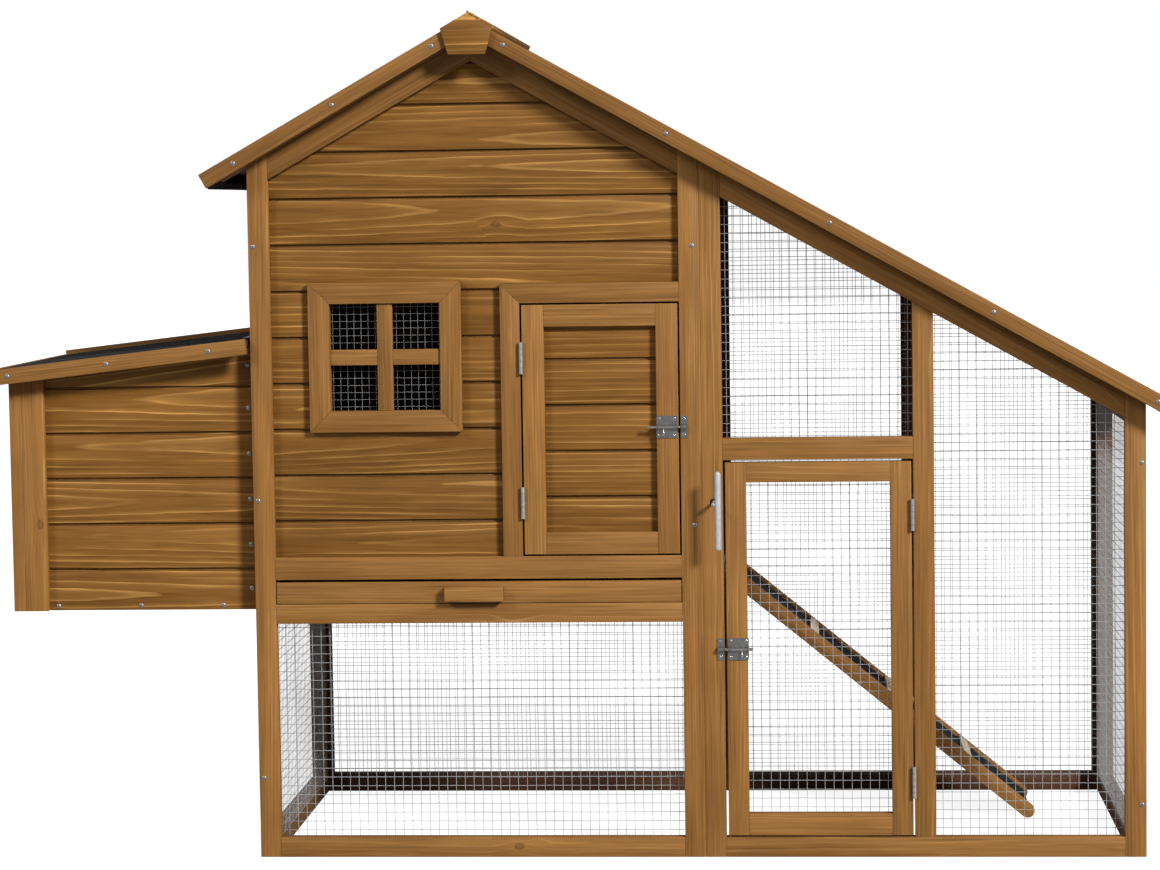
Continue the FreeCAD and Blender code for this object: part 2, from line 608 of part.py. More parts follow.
def build_partition():
    """Wall between house and run, with the doorway for the birds."""
    x0, x1 = PARTITION_X0, PARTITION_X1
    y0, y1 = FRAME_T + STILE_W, BACK_Y - STILE_W
    for ya, yb in ((FRAME_T, y0), (y1, BACK_Y)):
        add("partition_frame", [under_roof(x0, x1, FLOOR_RAIL_TOP, BARGE_DEPTH, ya, yb)])
    foot = roof_z(x1, BARGE_DEPTH) - PANEL_RAIL_W
    add("partition_frame", [under_roof(x0, x1, foot, BARGE_DEPTH, y0, y1),
                            box(x0, x1, y0, y1, FLOOR_RAIL_TOP, SILL_Z)])
    lining = x1 - BOARD_T
    for ya, yb in ((DOORWAY_Y0 - JAMB_W, DOORWAY_Y0), (DOORWAY_Y1, DOORWAY_Y1 + JAMB_W)):
        add("partition_frame", [box(x0, lining, ya, yb, SILL_Z, foot)])
    add("partition_frame", [box(x0, lining, DOORWAY_Y0, DOORWAY_Y1, DOORWAY_TOP, DOORWAY_TOP + JAMB_W)])
    doorway = box(x0, x1 + 1, DOORWAY_Y0, DOORWAY_Y1, SILL_Z - 1, DOORWAY_TOP)
    rows = board_rows(SILL_Z, foot, BOARD_PITCH, BOARD_PITCH)
    boards = [shiplap_y(y0, y1, za, zb, x1, lining, last=(zb == foot)) for za, zb in rows]
    whole = box(x0, x1, y0, y1, SILL_Z, foot)
    add("partition_boards", clipped(boards, whole, [doorway]))


def build_roof():
    """Boards on battens, felt on top and wrapped round the eaves, bargeboards at both ends."""
    y0, y1 = -ROOF_OVERHANG, BODY_DEPTH + ROOF_OVERHANG
    deck_y0, deck_y1 = y0 + BARGE_T, y1 - BARGE_T
    deck_bottom = DECK_TOP + DECK_T
    wrap_foot = BARGE_DEPTH + 1.5
    middle = BODY_DEPTH / 2
    batten_places = ((0.0, BATTEN_W), (middle - BATTEN_W / 2, middle + BATTEN_W / 2),
                     (BODY_DEPTH - BATTEN_W, BODY_DEPTH))
    for side, length in ((-1, LEFT_SLOPE), (1, RIGHT_SLOPE)):
        deck_end = length - FELT_T
        eave = deck_end - EAVE_BATTEN_W
        count = math.ceil(deck_end / BOARD_PITCH)
        for index in range(count):
            start = None if index == 0 else index * BOARD_PITCH
            end = min((index + 1) * BOARD_PITCH - 1.0, deck_end)
            add("roof_boards", [slope_bar(side, start, end, DECK_TOP, deck_bottom, deck_y0, deck_y1)])
        for ya, yb in batten_places:
            add("roof_battens", [slope_bar(side, None, eave - FELT_T, deck_bottom, BARGE_DEPTH, ya, yb)])
        add("roof_battens", [slope_bar(side, eave, deck_end, deck_bottom, wrap_foot - FELT_T, deck_y0, deck_y1)])
        felt_top = DECK_TOP - FELT_T
        add("roof_felt", [slope_bar(side, None, deck_end, felt_top, DECK_TOP, deck_y0, deck_y1),
                          slope_bar(side, deck_end, length, felt_top, wrap_foot, deck_y0, deck_y1),
                          slope_bar(side, eave - FELT_T, deck_end, wrap_foot - FELT_T, wrap_foot, deck_y0, deck_y1),
                          slope_bar(side, eave - FELT_T, eave, deck_bottom, wrap_foot - FELT_T, deck_y0, deck_y1)])
        for ya, yb in ((y0, deck_y0), (deck_y1, y1)):
            add("bargeboards", [slope_bar(side, None, length, 0.0, BARGE_DEPTH, ya, yb)])
    beam_top = roof_z(RIDGE_X + BATTEN_W / 2, BARGE_DEPTH)
    add("roof_battens", [box(RIDGE_X - BATTEN_W / 2, RIDGE_X + BATTEN_W / 2, FRAME_T, BACK_Y,
                             beam_top - RIDGE_BEAM_H, beam_top)])
    add("ridge_cover", [slope_bar(-1, None, RIDGE_STRIP_W, -RIDGE_STRIP_T, 0.0, y0 + 2.0, y1 - 2.0),
                        slope_bar(1, None, RIDGE_FLAP_W, -RIDGE_FLAP_T, 0.0, y0 + 2.0, y1 - 2.0)])
    peak = RIDGE_Z + RIDGE_CAP_RISE
    cap = [(RIDGE_X, peak), (RIDGE_X + RIDGE_CAP_HALF_W, RIDGE_Z - RIDGE_CAP_SHOULDER),
           (RIDGE_X + RIDGE_CAP_HALF_FOOT, RIDGE_Z - RIDGE_CAP_DROP),
           (RIDGE_X - RIDGE_CAP_HALF_FOOT, RIDGE_Z - RIDGE_CAP_DROP),
           (RIDGE_X - RIDGE_CAP_HALF_W, RIDGE_Z - RIDGE_CAP_SHOULDER)]
    add("ridge_caps", [prism_xz(cap, y0 - RIDGE_CAP_T, y0), prism_xz(cap, y1, y1 + RIDGE_CAP_T)])


def build_nest():
    """Nest box outside the house's left panel, open to the house, with two nests."""
    x0 = -NEST_LENGTH
    end_x = x0 + FRAME_T
    post_x = end_x + NEST_POST_W
    rest = DECK_TOP + DECK_T + LID_REST_GAP
    inner0, inner1 = NEST_Y0 + FRAME_T, NEST_Y1 - FRAME_T
    rows = board_rows(NEST_FLOOR_Z, LID_TOP_Z, NEST_FIRST_BOARD, BOARD_PITCH)
    region = prism_xz([(x0, 0.0), (0.0, 0.0), (0.0, lid_z(0.0, rest)), (x0, lid_z(x0, rest))],
                      NEST_Y0 - 1, NEST_Y1 + 1)
    for ya, yb, face, back in ((NEST_Y0, inner0, inner0 - BOARD_T, inner0),
                               (inner1, NEST_Y1, inner1 + BOARD_T, inner1)):
        add("nest_frame", [prism_xz([(end_x, NEST_FLOOR_Z), (post_x, NEST_FLOOR_Z), (post_x, lid_z(post_x, rest)),
                                     (end_x, lid_z(end_x, rest))], ya, yb)])
        boards = [shiplap_x(post_x, 0.0, za, zb, face, back) for za, zb in rows]
        add("nest_boards", clipped(boards, region, []))
    for ya, yb in ((NEST_Y0, NEST_Y0 + STILE_W), (NEST_Y1 - STILE_W, NEST_Y1)):
        add("nest_frame", [prism_xz([(x0, NEST_FLOOR_Z), (end_x, NEST_FLOOR_Z), (end_x, lid_z(end_x, rest)),
                                     (x0, lid_z(x0, rest))], ya, yb)])
    rail_y0, rail_y1 = NEST_Y0 + STILE_W, NEST_Y1 - STILE_W
    top = lid_z(x0, rest)
    add("nest_frame", [box(x0, end_x, rail_y0, rail_y1, NEST_FLOOR_Z, NEST_FLOOR_Z + PANEL_RAIL_W),
                       box(x0, end_x, rail_y0, rail_y1, top - PANEL_RAIL_W, top)])
    end_rows = board_rows(NEST_FLOOR_Z + PANEL_RAIL_W, top - PANEL_RAIL_W, BOARD_PITCH - 3.0, BOARD_PITCH)
    add("nest_boards", [shiplap_y(rail_y0, rail_y1, za, zb, end_x - BOARD_T, end_x, last=(zb == end_rows[-1][1]))
                        for za, zb in end_rows])
    batten_foot = NEST_FLOOR_Z + NEST_FLOOR_T
    for ya, yb in ((inner0, inner0 + FRAME_T), (inner1 - FRAME_T, inner1)):
        add("nest_frame", [prism_xz([(-FRAME_T, batten_foot), (0.0, batten_foot), (0.0, lid_z(0.0, rest)),
                                     (-FRAME_T, lid_z(-FRAME_T, rest))], ya, yb)])
    add("nest_floor", [box(end_x, 0.0, inner0, inner1, NEST_FLOOR_Z, batten_foot)])
    middle = BODY_DEPTH / 2
    add("nest_divider", [box(end_x, 0.0, middle - NEST_DIVIDER_T / 2, middle + NEST_DIVIDER_T / 2,
                             batten_foot, batten_foot + NEST_DIVIDER_H)])


def lid_hinge(moving, y_start):
    """A strap hinge half along Y at the top of the nest box, its pin against the house wall."""
    offset = KNUCKLE_R + 0.6
    if moving:
        half = hinge_half(True, offset - LEAF_T, offset, 2.0, LID_LEAF_W, 0.0)
        turn = -90.0 - LID_PITCH
    else:
        half = hinge_half(False, -offset, -offset + LEAF_T, 2.0, LID_LEAF_W, 0.0)
        turn = 0.0
    # local +Z becomes +Y and local +Y becomes +Z, so local +X becomes -X for the wall leaf
    half.rotate(FreeCAD.Vector(0, 0, 0), FreeCAD.Vector(0, 1, 1), 180)
    if moving:
        half.rotate(FreeCAD.Vector(0, 0, 0), FreeCAD.Vector(0, 1, 0), turn)
    axis_z = LID_TOP_Z + (offset - (DECK_TOP - FELT_T)) / cos_l - offset * tan_l
    half.translate(FreeCAD.Vector(-offset, y_start, axis_z))
    return half


def build_nest_lid():
    """Felted, boarded lid that lifts from its left edge."""
    start = LID_END_GAP / cos_l
    end = -LID_END_X / cos_l
    inner_y0, inner_y1 = LID_Y0 + LID_TRIM_T, LID_Y1 - LID_TRIM_T
    board_end = end - LID_TRIM_T
    count = math.ceil((board_end - start) / BOARD_PITCH)
    for index in range(count):
        s0 = start + index * BOARD_PITCH
        s1 = min(s0 + BOARD_PITCH - 1.0, board_end)
        add("nest_lid_boards", [lid_bar(s0, s1, DECK_TOP, DECK_TOP + DECK_T, inner_y0, inner_y1)])
    add("nest_lid_felt", [lid_bar(start, board_end, DECK_TOP - FELT_T, DECK_TOP, inner_y0, inner_y1)])
    add("nest_lid_trim", [lid_bar(start, end, 0.0, BARGE_DEPTH, LID_Y0, inner_y0),
                          lid_bar(start, end, -LID_BACK_RISE, BARGE_DEPTH, inner_y1, LID_Y1),
                          lid_bar(board_end, end, 0.0, BARGE_DEPTH, inner_y0, inner_y1)])
    for y in (LID_HINGE_INSET, BODY_DEPTH - LID_HINGE_INSET - HINGE_LENGTH):
        add("fixed_hinge_leaves", [lid_hinge(False, y)])
        add("nest_lid_hinge_leaves", [lid_hinge(True, y)])
    for fraction in (0.14, 0.52, 0.89):
        x, z = lid_point(start + (end - start) * fraction, BARGE_DEPTH / 2)
        add("nest_lid_screws", [screw_head(x, LID_Y0, z, -1), screw_head(x, LID_Y1, z, 1)])


def door_frame(x0, x1, z0, z1, stile, top_rail, foot_rail):
    """Stiles with rails between them."""
    return [box(x0, x0 + stile, 0.0, FRAME_T, z0, z1), box(x1 - stile, x1, 0.0, FRAME_T, z0, z1),
            box(x0 + stile, x1 - stile, 0.0, FRAME_T, z1 - top_rail, z1),
            box(x0 + stile, x1 - stile, 0.0, FRAME_T, z0, z0 + foot_rail)]


def build_house_door():
    """Boarded door of the house, hinged on its left, with a barrel bolt."""
    x0, x1, z0, z1, w = HOUSE_DOOR_X0, HOUSE_DOOR_X1, HOUSE_DOOR_Z0, HOUSE_DOOR_Z1, HOUSE_DOOR_STILE
    add("house_door_frame", door_frame(x0, x1, z0, z1, w, w, w))
    rows = board_rows(z0 + w, z1 - w, DOOR_FIRST_BOARD, DOOR_BOARD_PITCH)
    y0 = DOOR_BOARD_SETBACK
    add("house_door_boards", [shiplap_x(x0 + w, x1 - w, za, zb, y0, y0 + BOARD_T, last=(zb == z1 - w))
                              for za, zb in rows])
    pin_x = JAMB_X1 + HINGE_GAP / 2
    for height in HOUSE_HINGE_HEIGHTS:
        add("fixed_hinge_leaves", [door_hinge(False, pin_x, z0 + height, 1)])
        add("house_door_hinge_leaves", [door_hinge(True, pin_x, z0 + height, 1)])
    plate, keep, bolt = bolt_set(x1, POST_HOUSE[0], 1, z0 + HOUSE_BOLT_HEIGHT, HOUSE_BOLT_LENGTH)
    add("house_bolt_plate", plate)
    add("bolt_keeps", keep)
    add("house_bolt", [bolt])


def build_run_door():
    """Wire door of the run, hinged on its right, with a barrel bolt."""
    x0, x1, z0, z1, w = RUN_DOOR_X0, RUN_DOOR_X1, RUN_DOOR_Z0, RUN_DOOR_Z1, RUN_DOOR_STILE
    add("run_door_frame", door_frame(x0, x1, z0, z1, w, RUN_DOOR_TOP_RAIL, RUN_DOOR_FOOT_RAIL))
    add("run_door_mesh", [box(x0 + w - MESH_LAP, x1 - w + MESH_LAP, FRAME_T, FRAME_T + MESH_T,
                              z0 + RUN_DOOR_FOOT_RAIL - MESH_LAP, z1 - RUN_DOOR_TOP_RAIL + MESH_LAP)])
    pin_x = POST_DOOR[0] - HINGE_GAP / 2
    for height in RUN_HINGE_HEIGHTS:
        add("fixed_hinge_leaves", [door_hinge(False, pin_x, z0 + height, -1)])
        add("run_door_hinge_leaves", [door_hinge(True, pin_x, z0 + height, -1)])
    plate, keep, bolt = bolt_set(x0, POST_RUN[1], -1, z0 + RUN_BOLT_HEIGHT, RUN_BOLT_LENGTH)
    add("run_bolt_plate", plate)
    add("bolt_keeps", keep)
    add("run_bolt", [bolt])


def build_tray():
    """Pull-out droppings tray that is the house's floor, and the runners it slides on."""
    x0, x1 = POST_LEFT[1] + TRAY_GAP, POST_HOUSE[0] - TRAY_GAP
    z0, z1 = FLOOR_RAIL_TOP + TRAY_FOOT_GAP, SILL_Z - TRAY_HEAD_GAP
    add("tray_front", [box(x0, x1, 0.0, TRAY_FRONT_T, z0, z1)])
    px0, px1 = x0 + TRAY_SIDE_GAP, x1 - TRAY_SIDE_GAP
    py0, py1 = TRAY_FRONT_T, BACK_Y - TRAY_BACK_GAP
    t = TRAY_PAN_WALL
    top = z0 + TRAY_PAN_H
    add("tray_pan", [box(px0, px1, py0, py1, z0, z0 + t),
                     box(px0, px1, py0, py0 + t, z0 + t, top), box(px0, px1, py1 - t, py1, z0 + t, top),
                     box(px0, px0 + t, py0 + t, py1 - t, z0 + t, top),
                     box(px1 - t, px1, py0 + t, py1 - t, z0 + t, top)])
    middle_x = (x0 + x1) / 2 + TRAY_HANDLE_SHIFT
    middle_z = (z0 + z1) / 2 - 2.0
    add("tray_handle", [box(middle_x - TRAY_HANDLE_W / 2, middle_x + TRAY_HANDLE_W / 2, -TRAY_HANDLE_T, 0.0,
                            middle_z - TRAY_HANDLE_H / 2, middle_z + TRAY_HANDLE_H / 2)])
    runner_top = z0 - RUNNER_TO_PAN
    for xa, xb in ((SIDE_T, px0 + RUNNER_INSET), (px1 - RUNNER_INSET, PARTITION_X0)):
        add("tray_runners", [box(xa, xb, FRAME_T, BACK_Y, runner_top - RUNNER_H, runner_top)])


def build_perches():
    """Round perches across the house, resting in cradles on its front and back."""
    for x in PERCH_PLACES:
        add("perches", [rod((x, FRAME_T + 2.0, PERCH_Z), (0, 1, 0), PERCH_R, BACK_Y - FRAME_T - 4.0)])
        slot_r = PERCH_R + PERCH_CLEARANCE
        for ya, yb in ((FRAME_T, FRAME_T + CRADLE_T), (BACK_Y - CRADLE_T, BACK_Y)):
            block = box(x - CRADLE_W / 2, x + CRADLE_W / 2, ya, yb, PERCH_Z - CRADLE_H + PERCH_R / 2,
                        PERCH_Z + PERCH_R / 2)
            slot = rod((x, ya - 1, PERCH_Z), (0, 1, 0), slot_r, yb - ya + 2)
            mouth = box(x - slot_r, x + slot_r, ya - 1, yb + 1, PERCH_Z, PERCH_Z + PERCH_R)
            add("perch_cradles", solids_of(block.cut(slot).cut(mouth)))


def build_pop_door():
    """Sliding door over the birds' doorway, its tracks, and the rod that pulls it from outside."""
    face = PARTITION_X1
    x0, x1 = face + POP_DOOR_GAP, face + POP_DOOR_GAP + POP_DOOR_T
    lip0 = x1 + POP_DOOR_GAP
    lip1 = lip0 + TRACK_LIP_T
    y0, y1 = DOORWAY_Y0 - POP_DOOR_LAP, DOORWAY_Y1 + POP_DOOR_LAP
    z0, z1 = SILL_Z - POP_DOOR_LAP / 2, DOORWAY_TOP + POP_DOOR_LAP
    add("pop_door_panel", [box(x0, x1, y0, y1, z0, z1)])
    track_y0, track_y1 = y0 - POP_DOOR_TRAVEL - 3.0, y1 + 5.0
    base_z = z0 - POP_DOOR_GAP
    cap_z = z1 + POP_DOOR_GAP
    add("pop_door_tracks", [box(face, lip1, track_y0, track_y1, base_z - TRACK_BASE_H, base_z),
                            box(lip0, lip1, track_y0, track_y1, base_z, base_z + TRACK_LIP_H),
                            box(face, lip1, track_y0, track_y1, cap_z, cap_z + TRACK_BASE_H),
                            box(lip0, lip1, track_y0, track_y1, cap_z - TRACK_LIP_H, cap_z)])
    rod_x = HOUSE_LENGTH + PULL_X
    front = -PULL_STAND_OFF
    pull = rod((rod_x, front, PULL_Z), (0, 1, 0), PULL_ROD_R, y0 + PULL_BRACKET_W / 2 - front)
    bracket = box(x1, rod_x + 1.0, y0 + 2.0, y0 + 2.0 + PULL_BRACKET_W, PULL_Z - PULL_BRACKET_H / 2,
                  PULL_Z + PULL_BRACKET_H / 2)
    grip_x = rod_x + PULL_GRIP_SHIFT
    foot = PULL_Z - PULL_GRIP_DROP + PULL_GRIP_R
    head = foot + PULL_GRIP_H - 2 * PULL_GRIP_R
    ends = [Part.makeSphere(PULL_GRIP_R, FreeCAD.Vector(grip_x, front, z)) for z in (foot, head)]
    grip = fused(rod((grip_x, front, foot), (0, 0, 1), PULL_GRIP_R, head - foot), *ends)
    arm = rod((rod_x, front, PULL_Z), (1, 0, 0), PULL_ROD_R, PULL_GRIP_SHIFT)
    add("pop_door_pull", [fused(pull, bracket, arm, grip)])


def build_ramp():
    """Ramp from the doorway to the ground, turning on a pin below the doorway."""
    face = PARTITION_X1
    line_z = SILL_Z + RAMP_LINE_RISE
    pin_x = face + RAMP_PIN_X
    end_x = pin_x + RAMP_PIN_S * cos_r + RAMP_PIN_D * sin_r
    end_z = line_z - (end_x - face) * sin_r / cos_r
    pin_z = end_z + RAMP_PIN_S * sin_r - RAMP_PIN_D * cos_r
    nose_r = RAMP_SIDE_D / 2
    nose_d = RAMP_SIDE_D - nose_r
    length = (end_z - nose_d * cos_r - nose_r - RAMP_FOOT_CLEAR) / sin_r

    def point(s, d):
        return (end_x + s * cos_r - d * sin_r, end_z - s * sin_r - d * cos_r)

    def bar(s0, s1, d0, d1, y0, y1):
        return prism_xz([point(s0, d0), point(s1, d0), point(s1, d1), point(s0, d1)], y0, y1)

    y0 = (DOORWAY_Y0 + DOORWAY_Y1 - RAMP_W) / 2
    y1 = y0 + RAMP_W
    for ya in (y0, y1 - RAMP_SIDE_W):
        nose_x, nose_z = point(length, nose_d)
        nose = rod((nose_x, ya, nose_z), (0, 1, 0), nose_r, RAMP_SIDE_W)
        add("ramp_boards", [fused(bar(0.0, length, 0.0, RAMP_SIDE_D, ya, ya + RAMP_SIDE_W), nose)])
    inner_y0, inner_y1 = y0 + RAMP_SIDE_W, y1 - RAMP_SIDE_W
    deck_top = RAMP_RECESS + RAMP_FELT_T
    add("ramp_boards", [bar(0.0, length, deck_top, deck_top + RAMP_DECK_T, inner_y0, inner_y1)])
    add("ramp_felt", [bar(0.0, length, RAMP_RECESS, deck_top, inner_y0, inner_y1)])
    for index in range(RAMP_CLEATS):
        s = CLEAT_FIRST + index * CLEAT_PITCH
        add("ramp_cleats", [bar(s, s + CLEAT_W, 0.0, RAMP_RECESS, inner_y0, inner_y1)])
    strap_d = RAMP_PIN_D
    half = RAMP_STRAP_W / 2
    for ya in (y0 - RAMP_STRAP_T, y1):
        strap = bar(-RAMP_PIN_S, RAMP_STRAP_L, strap_d - half, strap_d + half, ya, ya + RAMP_STRAP_T)
        eye = rod((pin_x, ya, pin_z), (0, 1, 0), half, RAMP_STRAP_T)
        bore = rod((pin_x, ya - 1, pin_z), (0, 1, 0), RAMP_PIN_R + PIN_CLEARANCE, RAMP_STRAP_T + 2)
        add("ramp_straps", [fused(strap, eye).cut(bore)])
    ear_y0, ear_y1 = y0 - RAMP_EAR_GAP - RAMP_EAR_T, y1 + RAMP_EAR_GAP
    pin = rod((pin_x, ear_y0, pin_z), (0, 1, 0), RAMP_PIN_R, ear_y1 + RAMP_EAR_T - ear_y0)
    ears = [box(face, pin_x + 2 * RAMP_PIN_R, ya, ya + RAMP_EAR_T, pin_z - 2.5 * RAMP_PIN_R, pin_z + 2.5 * RAMP_PIN_R)
            for ya in (ear_y0, ear_y1)]
    add("ramp_hinge_pin", [fused(pin, *ears)])


def build_screws():
    """Round screw heads that hold the panels, bargeboards and nest box together."""
    partition_x = (PARTITION_X0 + PARTITION_X1) / 2
    left_heights = (BOTTOM_RAIL_W + 105.0, SIDING_Z + 100.0, SIDING_Z + 542.0)
    middle_heights = (SIDING_Z + 52.0, SIDING_Z + 534.0)
    right_heights = (BOTTOM_RAIL_W + 56.0, roof_z(BODY_LENGTH, BARGE_DEPTH) - 100.0)
    for y, direction in ((0.0, -1), (BODY_DEPTH, 1)):
        for x, heights in ((SCREW_INSET, left_heights), (partition_x, middle_heights),
                           (BODY_LENGTH - SCREW_INSET, right_heights)):
            add("screws", [screw_head(x, y, z, direction) for z in heights])
    for side, length, count in ((-1, LEFT_SLOPE, 3), (1, RIGHT_SLOPE, 5)):
        span = length - BARGE_SCREW_HEAD - BARGE_SCREW_FOOT
        for index in range(count):
            x, z = slope_point(side, BARGE_SCREW_HEAD + span * index / (count - 1), BARGE_DEPTH / 2)
            add("screws", [screw_head(x, -ROOF_OVERHANG, z, -1), screw_head(x, BODY_DEPTH + ROOF_OVERHANG, z, 1)])
    rows = board_rows(NEST_FLOOR_Z, lid_z(0.0, DECK_TOP + DECK_T), NEST_FIRST_BOARD, BOARD_PITCH)
    front_y = NEST_Y0 + FRAME_T - BOARD_T
    back_y = NEST_Y1 - FRAME_T + BOARD_T
    floor_z = NEST_FLOOR_Z + NEST_FLOOR_T / 2 + 1.5
    spots = [(-FRAME_T / 2, (za + zb) / 2) for za, zb in rows]
    spots += [(-NEST_LENGTH * fraction, floor_z) for fraction in (0.146, 0.483, 0.824)]
    for x, z in spots:
        add("screws", [screw_head(x, front_y, z, -1), screw_head(x, back_y, z, 1)])


def build_all():
    """Build every sub-part."""
    build_frames()
    build_window()
    build_door_surround()
    build_wall_boards()
    build_frame_mesh()
    build_left_side()
    build_right_side()
    build_partition()
    build_roof()
    build_nest()
    build_nest_lid()
    build_house_door()
    build_run_door()
    build_tray()
    build_perches()
    build_pop_door()
    build_ramp()
    build_screws()


build_all()
os.makedirs("parts", exist_ok=True)
whole = Part.makeCompound([solid for pieces in nodes.values() for solid in pieces])
bounds = whole.optimalBoundingBox()
shift = FreeCAD.Vector(-bounds.Center.x, -bounds.Center.y, -bounds.ZMin)
print("shift", shift.x, shift.y, shift.z)
for name, pieces in nodes.items():
    shape = Part.makeCompound(pieces)
    shape.translate(shift)
    shape.exportStep("parts/" + name + ".step")
print(len(nodes), "nodes,", sum(len(pieces) for pieces in nodes.values()), "pieces")
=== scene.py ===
"""The looks of a timber chicken coop with a wire run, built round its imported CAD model."""

import json
import logging
import math
import random
from collections.abc import Iterable
from dataclasses import dataclass, field
from enum import Enum

import bmesh
import bpy
from mathutils import Matrix, Vector, noise

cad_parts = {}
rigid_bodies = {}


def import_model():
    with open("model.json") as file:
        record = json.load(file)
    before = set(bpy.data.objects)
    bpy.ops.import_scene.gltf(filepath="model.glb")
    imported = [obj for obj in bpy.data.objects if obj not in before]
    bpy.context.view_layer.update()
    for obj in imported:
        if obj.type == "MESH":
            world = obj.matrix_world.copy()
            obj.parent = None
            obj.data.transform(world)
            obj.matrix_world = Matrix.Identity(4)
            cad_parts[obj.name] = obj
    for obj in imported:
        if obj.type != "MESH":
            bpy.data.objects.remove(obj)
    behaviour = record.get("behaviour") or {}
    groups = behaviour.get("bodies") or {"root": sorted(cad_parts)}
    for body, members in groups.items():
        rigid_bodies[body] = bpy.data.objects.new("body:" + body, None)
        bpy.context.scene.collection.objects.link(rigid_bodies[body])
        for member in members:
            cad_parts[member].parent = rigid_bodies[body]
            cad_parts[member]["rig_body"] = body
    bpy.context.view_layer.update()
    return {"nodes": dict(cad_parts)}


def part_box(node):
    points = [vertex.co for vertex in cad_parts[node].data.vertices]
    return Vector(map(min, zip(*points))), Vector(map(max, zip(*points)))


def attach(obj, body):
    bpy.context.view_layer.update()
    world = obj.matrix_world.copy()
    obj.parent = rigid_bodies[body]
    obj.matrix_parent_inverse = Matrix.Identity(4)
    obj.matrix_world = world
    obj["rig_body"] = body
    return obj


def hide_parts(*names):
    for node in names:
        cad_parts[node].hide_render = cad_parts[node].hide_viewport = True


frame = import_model()

LOG = logging.getLogger("coop")
MM = 0.001

Colour = tuple[float, float, float]
Socket = bpy.types.NodeSocket


class Axis(Enum):
    """The three directions of the shared frame."""

    X = Vector((1, 0, 0))
    Y = Vector((0, 1, 0))
    Z = Vector((0, 0, 1))


class Face(Enum):
    """Which way the shown side of a fitting looks."""

    FRONT = -1.0
    BACK = 1.0


